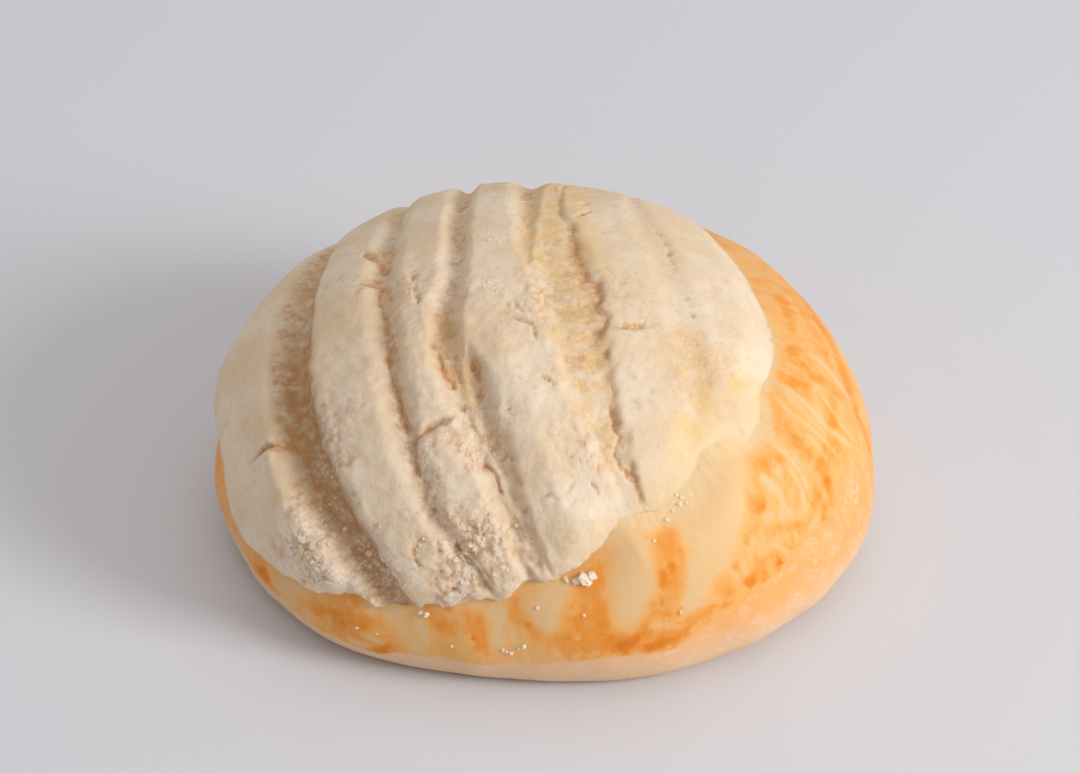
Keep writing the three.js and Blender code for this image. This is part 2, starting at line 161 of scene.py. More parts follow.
@dataclass
class DomeForm:
    """The bun's outer form, over its crust."""

    half_width: float = 43.2
    half_depth: float = 39.0
    height: float = 40.5
    # The plan: a turned and slightly squared ellipse, a little three-sided and six-cornered.
    plan_turn: float = math.radians(-4)
    plan_squareness: float = 2.08
    plan_triangle: float = -0.015
    plan_corners: float = 0.008
    plan_corners_from: float = math.radians(229)
    # The side: how square the dome is, how high the widest line runs and how it tilts, and the base's share.
    dome_squareness: float = 2.1
    widest_height: float = 9.9
    widest_tilt: float = 0.19
    widest_tilt_from: float = math.radians(150)
    foot_share: float = 0.875
    # Slow waves of the baked surface.
    wave_size: float = 11.0
    wave_height: float = 0.45
    # Entries of the table that tells places of the skin from places of the outline.
    table_turns: int = 720
    table_steps: int = 240

    def __post_init__(self) -> None:
        """Measures the outline's arc in every direction."""
        angles = np.linspace(-math.pi, math.pi, self.table_turns + 1)
        self._places = np.linspace(0.0, 2.0, 2 * self.table_steps + 1)
        turns, places = np.meshgrid(angles, self._places, indexing="ij")
        points = self.outline(turns.ravel(), places.ravel()).reshape(*turns.shape, 3)
        steps = np.linalg.norm(np.diff(points, axis=1), axis=2)
        self._arc = np.concatenate([np.zeros((len(angles), 1)), np.cumsum(steps, axis=1)], axis=1)
        self.full_arc = float(self._arc[:, -1].max())
        self._distances = np.linspace(0.0, self.full_arc, 2 * self.table_steps + 1)
        self._place_at = np.array([np.interp(self._distances, arc, self._places) for arc in self._arc])

    def plan_radius(self, angle: np.ndarray) -> np.ndarray:
        """Plan radius of the widest line in a direction.

        Args:
            angle: The directions.

        Returns:
            An array of n radii.
        """
        turned = angle - self.plan_turn
        along = np.abs(np.cos(turned)) / self.half_width
        across = np.abs(np.sin(turned)) / self.half_depth
        power = self.plan_squareness
        radius = (along**power + across**power) ** (-1.0 / power)
        corners = self.plan_corners * np.cos(6.0 * (angle - self.plan_corners_from))
        return radius * (1.0 + self.plan_triangle * np.sin(3.0 * angle) + corners)

    def outline(self, angle: np.ndarray, place: np.ndarray) -> np.ndarray:
        """Points of the outline.

        Args:
            angle: The direction of each point, from the right and turning to the back.
            place: 0 at the crown, 1 at the widest line and 2 at the edge of the base.

        Returns:
            An array of n points.
        """
        radius = self.plan_radius(angle)
        widest = self.widest_height * (1.0 + self.widest_tilt * np.cos(angle - self.widest_tilt_from))
        upper = np.clip(place, 0.0, 1.0) * math.pi / 2
        lower = np.clip(place - 1.0, 0.0, 1.0) * math.pi / 2
        power = 2.0 / self.dome_squareness
        over = place <= 1.0
        out_upper = np.sin(upper) ** power
        out_lower = self.foot_share + (1.0 - self.foot_share) * np.cos(lower)
        out = radius * np.where(over, out_upper, out_lower)
        up_upper = widest + (self.height - widest) * np.maximum(np.cos(upper), 0.0) ** power
        up = np.where(over, up_upper, widest * (1.0 - np.sin(lower)))
        return np.column_stack([out * np.cos(angle), out * np.sin(angle), up])

    def _look_up(self, table: np.ndarray, angle: np.ndarray, column: np.ndarray) -> np.ndarray:
        """Reads a table of directions and columns between its entries.

        Args:
            table: A row for each direction and a column for each step.
            angle: The directions.
            column: How far along the columns each entry lies.

        Returns:
            An array of n entries.
        """
        row = (angle + math.pi) / (2 * math.pi) * self.table_turns
        i = np.clip(row.astype(int), 0, self.table_turns - 1)
        j = np.clip(column.astype(int), 0, table.shape[1] - 2)
        u, v = row - i, column - j
        near = mix(table[i, j], table[i, j + 1], v)
        return mix(near, mix(table[i + 1, j], table[i + 1, j + 1], v), u)

    def arc(self, angle: np.ndarray, place: np.ndarray) -> np.ndarray:
        """Distance from the crown along the skin to places of the outline."""
        return self._look_up(self._arc, angle, place * self.table_steps)

    def point(self, skin: np.ndarray) -> np.ndarray:
        """Points of the form at places of the rolled-out skin.

        Args:
            skin: The places.

        Returns:
            An array of n points.
        """
        angle = np.arctan2(skin[:, 1], skin[:, 0])
        column = np.hypot(skin[:, 0], skin[:, 1]) / self.full_arc * 2 * self.table_steps
        return self.outline(angle, self._look_up(self._place_at, angle, column))

    def normal(self, skin: np.ndarray, step: float = 0.2) -> np.ndarray:
        """Directions out of the form there.

        Args:
            skin: The places.
            step: How far to each side the slope is measured.

        Returns:
            An array of n directions.
        """
        across = self.point(skin + [step, 0.0]) - self.point(skin - [step, 0.0])
        along = self.point(skin + [0.0, step]) - self.point(skin - [0.0, step])
        out = np.cross(across, along)
        return out / np.linalg.norm(out, axis=1)[:, None]

    def wave(self, skin: np.ndarray) -> np.ndarray:
        """Slow unevenness of the baked surface."""
        return self.wave_height * grain(skin, self.wave_size, 0.5)


class SkinLine:
    """A smooth line through places of the skin, each [right, back, reach]."""

    def __init__(self, places: Sequence[Sequence[float]], fineness: int = 40) -> None:
        """Runs a smooth cubic curve through the places, without loops or cusps.

        Args:
            places: The places, with or without a reach.
            fineness: Spans between two places.
        """
        given = np.array([tuple(p) + (0.0,) * (3 - len(p)) for p in places], float)
        padded = np.vstack([2 * given[0] - given[1], given, 2 * given[-1] - given[-2]])
        share = np.linspace(0.0, 1.0, fineness, endpoint=False)[:, None]
        spans = [self._span(padded[i : i + 4], share) for i in range(len(given) - 1)]
        self._dense = np.vstack([*spans, given[-1:]])
        steps = np.linalg.norm(np.diff(self._dense, axis=0), axis=1)
        self._arc = np.concatenate([[0.0], np.cumsum(steps)])

    @staticmethod
    def _span(around: np.ndarray, share: np.ndarray) -> np.ndarray:
        """One span of the curve, between the middle two of four places.

        Args:
            around: The four places.
            share: Shares of the span's length.

        Returns:
            The points at those shares.
        """
        before, start, end, after = around
        knots = [max(float(np.linalg.norm(b - a)), 1e-6) ** 0.5 for a, b in zip(around, around[1:])]
        first, middle, last = knots
        leave = (start - before) / first - (end - before) / (first + middle) + (end - start) / middle
        arrive = (end - start) / middle - (after - start) / (middle + last) + (after - end) / last
        leave, arrive = leave * middle, arrive * middle
        square = -3 * start + 3 * end - 2 * leave - arrive
        cube = 2 * start - 2 * end + leave + arrive
        return start + leave * share + square * share**2 + cube * share**3

    def at(self, share: np.ndarray) -> np.ndarray:
        """Points at shares of the line's length."""
        arc = np.asarray(share, float) * self._arc[-1]
        return np.column_stack([np.interp(arc, self._arc, self._dense[:, k]) for k in range(3)])

    def chain(self, spans: int) -> np.ndarray:
        """The line as evenly spaced points."""
        return self.at(np.linspace(0.0, 1.0, spans + 1))


def nearest(chain: np.ndarray, skin: np.ndarray) -> tuple[np.ndarray, np.ndarray, np.ndarray]:
    """The nearest point of a chain to each place.

    Args:
        chain: Points [right, back, reach].
        skin: Places [right, back].

    Returns:
        The distance, the share of the chain before the nearest point, and the reach there.
    """
    distance = np.full(len(skin), np.inf)
    before = np.zeros(len(skin))
    reach = np.zeros(len(skin))
    for i, (start, end) in enumerate(zip(chain, chain[1:])):
        span = (end - start)[:2]
        offset = skin - start[:2]
        share = np.clip(offset @ span / (span @ span), 0.0, 1.0)
        found = np.hypot(offset[:, 0] - share * span[0], offset[:, 1] - share * span[1])
        closer = found < distance
        distance[closer] = found[closer]
        before[closer] = (i + share[closer]) / (len(chain) - 1)
        reach[closer] = mix(start[2], end[2], share[closer])
    return distance, before, reach


def strokes(lines: Sequence[Line], skin: np.ndarray, beyond: float = 3.0) -> np.ndarray:
    """How far inside the nearest of several strokes each place is; negative outside, down to -beyond.

    Args:
        lines: Strokes through places [right, back, half width].
        skin: Places [right, back].
        beyond: How far outside is still told apart.

    Returns:
        An array of n distances.
    """
    inside = np.full(len(skin), -beyond)
    for line in lines:
        dot = np.array([line[0], line[0]]) + [[0, 0, 0], [1e-3, 0, 0]]
        chain = SkinLine(line).chain(10) if len(line) > 1 else dot
        margin = chain[:, 2].max() + beyond
        low, high = chain[:, :2].min(0) - margin, chain[:, :2].max(0) + margin
        near = np.all((skin > low) & (skin < high), axis=1)
        distance, _, reach = nearest(chain, skin[near])
        inside[near] = np.maximum(inside[near], reach - distance)
    return inside


# --------------------------------------------------------------------------------- the crust's lines


class Cut(Enum):
    """How the surface falls from the untouched ridge into a cut."""

    SCORE = "knife line with puffed sides"
    VALLEY = "broad and round"
    TROUGH = "flat crumbly floor"
    CRACK = "narrow tear"
    LEDGE = "tear whose right side stands up and whose left side slopes"

    def profile(self, share: np.ndarray) -> np.ndarray:
        """The share of the cut's depth at a share of its reach.

        Args:
            share: The distance from the line, as a share of the reach.

        Returns:
            An array of n shares.
        """
        valley = (1.0 + np.cos(math.pi * share)) / 2.0
        if self is Cut.SCORE:
            return mix(1.0 - np.sqrt(np.maximum(1.0 - (1.0 - share) ** 2, 0.0)), valley, 0.45)
        if self is Cut.VALLEY:
            return valley
        if self is Cut.TROUGH:
            return 1.0 - smoothstep(share, 0.3, 1.0)
        return mix((1.0 - share) ** 1.5, valley, 0.4)


@dataclass(frozen=True)
class CutLine:
    """A cut in the crust: its depth is its reach times its steepness."""

    kind: Cut
    steepness: float
    line: Line


# The crust's rim in four sides, front and back from the left, the others from the front: [right, back].
RIM_FRONT = (
    (-45, -37.5), (-38, -42.6), (-32, -43.6), (-29, -46.8), (-22, -48.3), (-14, -48.9), (-7, -48.7),
    (-1, -46.6), (4, -45.4), (8.5, -42), (11, -37.6), (16, -36), (21, -31), (22.8, -26.2), (25.6, -23.8),
    (29.2, -22.6),
)
RIM_RIGHT = (
    (29.2, -22.6), (30.6, -18.6), (30.3, -14.4), (31.6, -10.2), (32.3, -5.4), (31.8, -1), (30.4, 4),
    (28.8, 12), (26.2, 19.6), (22.5, 25.5),
)
RIM_BACK = ((-42, 32), (-33, 38.5), (-23, 42), (-12, 42), (-2, 39.4), (6, 35), (14, 30.6), (22.5, 25.5))
RIM_LEFT = (
    (-45, -37.5), (-50.5, -31.5), (-55, -22), (-52.5, -14), (-52.8, -7), (-54.5, 2), (-53, 13), (-49, 23),
    (-42, 32),
)

# The scored lines from the left, each from the front: [right, back, reach]. A reach of 0.1 leaves no cut.
SCORES = (
    CutLine(Cut.VALLEY, 0.86, (
        (-24.4, -48, 3.4), (-28.2, -39, 4), (-32.2, -27, 4.2), (-34.2, -16, 4.2), (-34.2, -4, 4),
        (-32.4, 9, 3.4), (-29.6, 24, 2.7), (-26.6, 39, 2))),
    CutLine(Cut.SCORE, 0.64, (
        (-7.2, -48.6, 1.3), (-11.6, -42.5, 1.6), (-15.8, -35.5, 2.3), (-18.3, -25, 2.7), (-19.9, -12, 2.7),
        (-20.7, 0, 2.6), (-20, 14, 2.4), (-19, 28, 2), (-17.6, 42, 1.6))),
    CutLine(Cut.VALLEY, 0.62, (
        (-1.6, -46.8, 1.2), (-4.2, -40, 1.6), (-7.2, -32.4, 2), (-9.6, -25.4, 2), (-12, -17, 2.4),
        (-12.6, -12, 2.6), (-12, -6, 2.4), (-11.3, 0, 2.1), (-11.1, 8, 2), (-10.8, 22, 2),
        (-9.8, 42, 1.6))),
    CutLine(Cut.SCORE, 0.78, (
        (1.6, -45.8, 0.6), (-1.4, -40, 1), (-4.5, -34.2, 2.1), (-6.8, -27.6, 2.7), (-8.6, -20.6, 2.8),
        (-9.5, -16.6, 1.8), (-9.7, -14.4, 0.1), (-9, -4, 0.1), (-8.6, 8, 0.1), (-8.2, 24, 0.1),
        (-7, 41, 0.1))),
    CutLine(Cut.VALLEY, 0.4, (
        (8.8, -40.4, 0.1), (7.4, -35.4, 0.1), (5.4, -28.6, 0.1), (2, -22, 0.1), (0, -16, 0.1),
        (-1.4, -10, 0.1), (-1.9, -2, 0.1), (-1.9, 3, 1.6), (-1.9, 12, 2.4), (-1.8, 26, 2.8),
        (-1, 38.4, 1.8))),
    CutLine(Cut.LEDGE, 0.72, (
        (15.2, -36.2, 0.7), (12.6, -32.4, 1), (10.2, -26, 0.8), (8.4, -19.2, 1.15), (7.8, -11.8, 1.45),
        (6.4, -4, 1.5), (4.4, 1.6, 1.4), (3.9, 8, 1.1), (2.8, 14, 0.8), (2.8, 24, 0.45), (5.6, 34.6, 0.2))),
    CutLine(Cut.VALLEY, 0.16, (
        (21.6, -29.4, 2), (20.9, -20.4, 2.8), (19, -11.4, 2.8), (17, -3, 2.8), (15.2, 5, 2.8),
        (13.2, 13, 2.4), (12.2, 21, 1.4), (12.6, 27.8, 1))),
)

# Broad floors where the paste between two lines broke up.
FLOORS = (
    CutLine(Cut.TROUGH, 0.55, (
        (-1.2, -43, 1.6), (-5.9, -33, 2.2), (-8.5, -25.6, 2.2), (-10.6, -18.5, 2), (-11.4, -13, 0.8))),
    CutLine(Cut.TROUGH, 0.22, (
        (12.6, -36, 1.4), (9.2, -29.5, 2.4), (6.2, -21, 3.4), (4.3, -12, 4.2), (2.7, -3, 4.2), (1.7, 6, 3.6),
        (1.2, 16, 2), (1.2, 24, 0.8))),
)

# Tears across the ridges.
TEARS = (
    CutLine(Cut.CRACK, 0.95, (
        (-44, -19.4, 0.3), (-38.6, -20.4, 1.6), (-35, -22.2, 1.6), (-31.4, -21.8, 0.4))),
    CutLine(Cut.CRACK, 0.95, ((-25, 8.5, 0.4), (-22, 5.4, 1.8), (-19.6, 0.6, 1))),
    CutLine(Cut.CRACK, 0.95, ((-25.4, 0.8, 0.4), (-22, -0.6, 1.7), (-19.6, -1.6, 1))),
    CutLine(Cut.CRACK, 0.95, ((-18, -27.4, 0.6), (-14, -25.3, 1.6), (-10.4, -23.8, 0.8))),
    CutLine(Cut.CRACK, 0.7, ((5.8, -10.2, 1), (10.6, -11.8, 1.2), (14.6, -10.4, 0.6))),
)

# Narrow crevices that show, finer than the source's faces: [right, back, half width].
CREVICES: tuple[Line, ...] = (
    ((-23.6, 1.1, 0.35), (-21.4, 0.4, 0.4)),
    ((-29, 2.2, 0.1), (-26, 2.9, 0.25)),
    ((-23.3, 7.8, 0.5), (-22.2, 6.6, 0.6)),
    ((-21.2, 3.6, 0.3), (-20.6, 2.4, 0.5)),
    ((-21.3, -1.6, 0.35), (-21.1, -4.7, 0.3), (-20.3, -7.6, 0.45), (-20.1, -10.5, 0.3), (-20, -15.7, 0.5),
     (-19.3, -19.3, 0.3), (-18.5, -21.8, 0.4), (-17.9, -25.7, 0.4)),
    ((-16.8, -0.9, 0.3), (-16.3, -3.9, 0.2), (-15.9, -6, 0.3)),
    ((-14.2, -13.2, 0.4), (-13.6, -14.6, 0.3), (-13.3, -15.9, 0.4), (-12.9, -17.5, 0.4),
     (-11.6, -19.8, 0.55)),
    ((6, 13, 0.4), (4.4, 11, 0.4)),
    ((10.2, -11.4, 0.5), (11.5, -11.3, 0.35), (12.5, -10.9, 0.25), (13.2, -9.9, 0.3)),
    ((18.5, -4.5, 0.3), (19, -6.2, 0.3), (19.4, -7.9, 0.2)),
    ((14.7, 12.2, 0.3), (16.2, 7.5, 0.3), (16.8, 2.3, 0.2)),
    ((-3.6, -8.1, 0.2), (-2.6, -9.6, 0.2)),
    ((0.2, -5.7, 0.2), (0.4, -7.9, 0.3)),
    ((-0.1, -19.7, 0.25), (0.7, -20.3, 0.25), (1.4, -21.1, 0.15)),
    ((-16.7, -26.5, 0.3), (-17.1, -28.6, 0.4), (-17.1, -30.7, 0.4), (-16.4, -32, 0.3), (-15.6, -32.7, 0.3)),
    ((-17.3, -26.9, 0.3), (-15.8, -25.9, 0.2), (-14.5, -25.4, 0.2), (-13.3, -24.8, 0.45),
     (-12.1, -24.5, 0.25)),
    ((-17.9, -37.7, 0.15), (-18.8, -39.2, 0.25), (-19.2, -40.8, 0.2), (-18.7, -42.4, 0.15),
     (-17.7, -42.6, 0.15)),
    ((-14.6, -28.9, 0.15), (-13.9, -29.6, 0.2), (-13.2, -30.6, 0.15)),
    ((-12.6, -40.6, 0.4), (-11.7, -42.3, 0.4), (-10.6, -43.4, 0.4), (-9.2, -45.4, 0.3), (-8, -47, 0.35)),
    ((-8, -31.1, 0.35), (-6.8, -31.7, 0.3), (-6.2, -32.8, 0.4), (-5.8, -34.3, 0.3)),
    ((-1.3, -35.3, 0.12), (0.4, -35, 0.1), (2.4, -35.3, 0.1), (3.5, -34.6, 0.15), (4.4, -33.5, 0.1)),
    ((8.6, -23.2, 0.35), (9.1, -23.9, 0.4), (9.7, -26.2, 0.5), (10, -27.5, 0.3), (9.3, -29.6, 0.3),
     (10.5, -31.3, 0.4), (12.2, -32, 0.6), (13.8, -34.8, 0.4)),
    ((6.5, -33.4, 0.2), (7.7, -34.6, 0.25)),
    ((-29.7, -31.9, 0.4), (-29, -33.6, 0.3), (-28.6, -35.2, 0.4), (-28.7, -37.1, 0.4)),
    ((-27.9, -39.2, 0.3), (-27.9, -41.1, 0.3), (-28, -43.6, 0.4)),
    ((-13.9, -48.6, 0.4), (-12.1, -47.2, 0.4)),
    ((-2.5, -40.4, 0.15), (-1.8, -41.5, 0.15)),
    ((-5.2, -27.7, 0.3), (-4.4, -29.8, 0.35), (-3.7, -31.7, 0.3), (-2.9, -33.7, 0.3)),
    ((-8.7, -17, 0.6), (-8.2, -19.4, 0.3)),
    ((-43, -19.7, 0.15), (-40, -20, 0.3), (-38, -20.5, 0.3), (-36.4, -21.4, 0.2)),
    ((-36.4, -20.9, 0.25), (-34.4, -22.2, 0.5), (-32.5, -21.3, 0.3)),
    ((-4.4, -10.2, 0.2), (-1.8, -11.4, 0.35), (-0.8, -14, 0.2)),
)

# Where the paste crumbled: the middle, how far it reaches and how far it went.
CRUMBLED = (
    ((-36, -35), 10.0, 0.75),
    ((-30, -24), 8.0, 0.6),
    ((-27, -42), 9.0, 0.7),
    ((-12, -41), 12.0, 0.75),
    ((-9.5, -27), 8.0, 0.6),
    ((-15, -4), 10.0, 0.4),
    ((2.4, -6), 12.0, 0.4),
    ((7, -27), 8.0, 0.4),
    ((20.5, -14), 12.0, 0.25),
)

# Crests that swelled above the others: how far each reaches, how high it rises, and its line [right, back].
SWELLS: tuple[tuple[float, float, Line], ...] = (
    (4.2, 1.2, ((-38, -21, 0.1), (-37.6, -28, 0.1), (-36.6, -34, 0.1), (-34.6, -39, 0.1))),
    (4.6, 0.7, ((-5.4, -15, 0.1), (-2.6, -22, 0.1), (0.2, -30, 0.1), (3.6, -38, 0.1))),
)

# Where the paste baked yellow: [right, back, half width].
GOLDEN: tuple[Line, ...] = (
    ((3, 26, 3), (2, 12, 5), (2, 0, 5), (4, -12, 4), (6, -22, 3), (9, -32, 2)),
    ((-13, -6, 1), (-11.4, -16, 1.4), (-8.4, -26, 1)),
    ((5, 19, 1), (8, 25, 1)),
    ((19, -13, 3), (21, -20, 3.4), (18.6, -27, 2)),
    ((24, -18, 2.4), (27, -15, 2)),
)

# Floury white patches: [right, back, half width].
POWDERED: tuple[Line, ...] = (
    ((-7.4, 6, 0.9), (-5.8, 5.2, 1.1)),
    ((-7.4, -4.6, 0.9), (-5.8, -4.8, 1.1)),
    ((-26.5, 12.1, 0.6), (-25.4, 10, 0.4)),
    ((-25.8, 1.3, 0.7), (-25.2, -0.4, 0.4)),
    ((-17.4, 3.6, 0.8),),
    ((-15.7, -28, 0.9), (-15.5, -30.1, 0.9), (-16.3, -31.8, 0.6)),
    ((-35.8, -31.4, 1.0), (-34.6, -34, 0.9)),
    ((-14.4, -39.8, 0.7), (-13.6, -42, 0.6)),
    ((-9, -42.6, 0.7), (-12.4, -45, 0.9)),
    ((-34, -38.6, 0.9), (-31, -41.8, 1.0)),
    ((-38.5, -30, 1.6), (-39.5, -35, 1.8), (-36.5, -39.5, 1.4)),
    ((-22, -40, 0.9), (-19.5, -44.4, 1)),
    ((-8.2, -37, 0.7), (-6.4, -42.6, 0.8)),
)

# The long tear along the broadest ridge, whose lip is scalloped.
SCALLOPED: tuple[Line, ...] = (
    ((12.3, -32.4, 0.1), (9.9, -26, 0.1), (8, -19.2, 0.1), (7.4, -11.8, 0.1), (5.8, -4, 0.1), (3.8, 1.6, 0.1),
     (3.4, 8, 0.1), (2.2, 14, 0.1)),
)

# Single pits and scars that show: [right, back, radius, depth].
SCARS = (
    (-33.8, 1.5, 0.5, 0.5),
    (-32.1, -2.5, 0.7, 0.6),
    (-34.7, -2.6, 0.6, 0.5),
    (-30.8, -10.3, 0.9, 0.8),
    (-32.2, -13.2, 0.6, 0.6),
    (-11.2, -12.1, 0.7, 0.7),
    (-11.7, -3.6, 0.8, 0.6),
    (-23.9, -1.2, 0.6, 0.6),
    (8.6, -10, 0.4, 0.6),
    (-11.8, -19.7, 0.9, 0.9),
    (-10.6, -23, 0.7, 0.8),
    (-8.3, -18.1, 0.9, 1.2),
    (3.2, -18.4, 0.5, 0.4),
    (20.5, -21.9, 0.6, 0.6),
    (12.4, 21.1, 0.9, 0.5),
    (5.7, 16.4, 1, 0.7),
    (9.8, 24.2, 0.7, 0.5),
    (-15.1, -35.8, 0.7, 0.8),
    (-15.3, -40.8, 0.6, 1),
    (-15.5, -39.9, 0.5, 0.9),
    (-2.2, -36.8, 0.7, 0.9),
    (-3.9, -39.2, 0.5, 0.7),
    (-4.5, -42.2, 0.6, 0.8),
    (-6.3, -40.8, 0.4, 0.5),
    (-8.9, -39.8, 0.7, 0.6),
    (-2.3, -43, 0.6, 0.5),
    (-0.1, -44.6, 0.7, 0.5),
    (-14.1, -46.2, 0.7, 0.7),
    (-16.2, -48.2, 0.9, 0.8),
    (-26.6, -31.4, 0.6, 0.9),
    (-25.8, -32.7, 0.35, 0.5),
    (-31.2, -39.1, 0.5, 0.7),
    (-23.8, -45.5, 0.7, 0.7),
    (2.2, -6.7, 0.3, 0.3),
    (3.5, -6.7, 0.3, 0.3),
    (-2.2, -4.9, 0.6, 0.35),
    (-1.4, 1.4, 0.7, 0.3),
    (1.8, -2.7, 0.6, 0.3),
    (22.4, -1.2, 1.2, 0.45),
    (23.6, 1.6, 0.9, 0.4),
    (24.8, -15.4, 0.7, 0.7),
    (-38.8, -28.4, 1.4, 0.5),
    (-37.4, -30.4, 1.1, 0.6),
    (17, 1.2, 0.5, 0.4),
)


# -------------------------------------------------------------------------------------------- meshes


def mesh_object(name: str, bm: bmesh.types.BMesh) -> bpy.types.Object:
    """Turns a bmesh into an object of the scene, smooth-shaded.

    Args:
        name: The name of the object and its mesh.
        bm: The bmesh, which is freed.

    Returns:
        The object.
    """
    mesh = bpy.data.meshes.new(name)
    bm.to_mesh(mesh)
    bm.free()
    mesh.shade_smooth()
    piece = bpy.data.objects.new(name, mesh)
    bpy.context.scene.collection.objects.link(piece)
    return piece


def read_points(piece: bpy.types.Object) -> np.ndarray:
    """A piece's vertices as an array.

    Args:
        piece: The piece.

    Returns:
        An array of n points.
    """
    values = np.empty(len(piece.data.vertices) * 3, np.float32)
    piece.data.vertices.foreach_get("co", values)
    return values.reshape(-1, 3).astype(float)


def write_points(piece: bpy.types.Object, points: np.ndarray) -> None:
    """Moves a piece's vertices to points in millimetres."""
    piece.data.vertices.foreach_set("co", (points * MM).astype(np.float32).ravel())
    piece.data.update()


def write_field(piece: bpy.types.Object, name: str, values: np.ndarray) -> None:
    """Keeps one number, or one vector, for each vertex of a piece.

    Args:
        piece: The piece.
        name: The field's name.
        values: The numbers, or the vectors.
    """
    vector = values.ndim == 2
    attribute = piece.data.attributes.new(name, "FLOAT_VECTOR" if vector else "FLOAT", "POINT")
    attribute.data.foreach_set("vector" if vector else "value", values.astype(np.float32).ravel())


@dataclass
class Bed:
    """The crust's rim, and the bed that the crust sinks into the dough."""

    form: DomeForm
    # How deep it is, and from how far outside the rim to how far inside it the dough sinks.
    depth: float = 2.9
    outside: float = 8.0
    inside: float = 6.0
    rim_spans: int = 60

    def __post_init__(self) -> None:
        """Joins the four sides of the rim into one loop."""
        self.front, self.back = SkinLine(RIM_FRONT), SkinLine(RIM_BACK)
        self.left, self.right = SkinLine(RIM_LEFT), SkinLine(RIM_RIGHT)
        n = self.rim_spans
        self.front_chain, self.back_chain = self.front.chain(n), self.back.chain(n)
        up, down = self.right.chain(n), self.left.chain(n)[::-1]
        self.rim = np.vstack([self.front_chain, up[1:], self.back_chain[::-1][1:], down[1:]])

    def within(self, skin: np.ndarray) -> np.ndarray:
        """How far inside the rim each place is; negative outside.

        Args:
            skin: The places.

        Returns:
            An array of n distances.
        """
        odd = np.zeros(len(skin), bool)
        for p, q in zip(self.rim, self.rim[1:]):
            crosses = (p[1] > skin[:, 1]) != (q[1] > skin[:, 1])
            if q[1] != p[1]:
                at = p[0] + (q[0] - p[0]) * (skin[:, 1] - p[1]) / (q[1] - p[1])
                odd ^= crosses & (skin[:, 0] < at)
        distance, _, _ = nearest(self.rim, skin)
        return np.where(odd, distance, -distance)

    def dough(self, skin: np.ndarray, within: np.ndarray, height: Any = 0.0) -> np.ndarray:
        """Points of the dough's surface, or above it by a height.

        Args:
            skin: The places.
            within: How far inside the rim they are.
            height: Their height over the dough.

        Returns:
            An array of n points.
        """
        sunk = self.depth * smoothstep(within, -self.outside, self.inside)
        lift = height - sunk + self.form.wave(skin)
        return self.form.point(skin) + self.form.normal(skin) * lift[:, None]


@dataclass
class Bun:
    """The bread under and beside the crust."""

    bed: Bed
    # The mesh: faces round the bun, down its dome and under its widest line, and rings on its base.
    turns: int = 460
    dome_steps: int = 170
    dome_crowding: float = 0.92
    under_steps: int = 40
    base_rings: int = 4
    # The side that lies bare, and how much more closely the faces stand there.
    front_angle: float = math.radians(-45)
    front_share: float = 0.55
    # Over this last part of the outline, the skin settles into the plain form above the base.
    settled_from: float = 0.8
    wrinkle_size: float = 2.6
    wrinkle_height: float = 0.05

    def build(self) -> bpy.types.Object:
        """Rolls a grid into a closed skin, then moves it onto the bun's form.

        Returns:
            The skin.
        """
        places = np.concatenate([
            np.linspace(0.0, 1.0, self.dome_steps + 1) ** self.dome_crowding,
            1.0 + np.linspace(0.0, 1.0, self.under_steps + 1)[1:],
            2.0 + np.linspace(0.0, 1.0, self.base_rings + 1)[1:],
        ])
        bm = bmesh.new()
        bmesh.ops.create_grid(bm, x_segments=self.turns, y_segments=len(places) - 1, size=0.5)
        for vert in bm.verts:
            turn = 2 * math.pi * vert.co.x
            place = places[round((vert.co.y + 0.5) * (len(places) - 1))]
            # A rolled vertex stands at its place's depth, so that it still tells its place and direction.
            out = place if place <= 2.0 else 6.0 - 2 * place
            vert.co = (out * math.cos(turn), out * math.sin(turn), -place)
        bmesh.ops.remove_doubles(bm, verts=bm.verts, dist=1e-5)
        bmesh.ops.recalc_face_normals(bm, faces=bm.faces)
        piece = mesh_object("bun_crust", bm)
        flat = read_points(piece)
        angle = self._crowded(np.arctan2(flat[:, 1], flat[:, 0]))
        self._shape(piece, angle, -flat[:, 2], np.hypot(flat[:, 0], flat[:, 1]))
        return piece

    def _crowded(self, angle: np.ndarray) -> np.ndarray:
        """Turns vertices towards the side that lies bare, where the skin's marks are.

        Args:
            angle: The directions of vertices that stand evenly.

        Returns:
            The directions they are moved to.
        """
        offset = (angle - self.front_angle + math.pi) % (2 * math.pi) - math.pi
        offset = offset - self.front_share * np.sin(offset)
        return (offset + self.front_angle + math.pi) % (2 * math.pi) - math.pi

    def _shape(
        self, piece: bpy.types.Object, angle: np.ndarray, place: np.ndarray, spread: np.ndarray
    ) -> None:
        """Moves the rolled vertices to their places and keeps what the skin's finish reads.

        Args:
            piece: The rolled skin.
            angle: The direction of each vertex.
            place: Its place on the outline; over 2 it is on the base.
            spread: Its distance from the axis, of 2 at the base's edge.
        """
        form, on_skin = self.bed.form, np.minimum(place, 2.0)
        distance = form.arc(angle, on_skin)
        skin = np.column_stack([distance * np.cos(angle), distance * np.sin(angle)])
        within = self.bed.within(skin)
        plain = form.outline(angle, on_skin)
        raised = self.bed.dough(skin, within, self._wrinkles(plain))
        settled = smoothstep(2.0 - on_skin, 0.0, self.settled_from)[:, None]
        points = mix(plain, raised, settled)
        base = place > 2.0
        points[base, :2] *= (spread[base] / 2.0)[:, None]
        points[on_skin >= 2.0, 2] = 0.0
        write_points(piece, points)
        WashMarks(within).keep(piece, skin, plain)

    def _wrinkles(self, plain: np.ndarray) -> np.ndarray:
        """The faint unevenness of the baked skin."""
        coarse = grain(plain, self.wrinkle_size, 1.0)
        return self.wrinkle_height * (coarse + 0.5 * grain(plain, self.wrinkle_size / 3, 2.0))


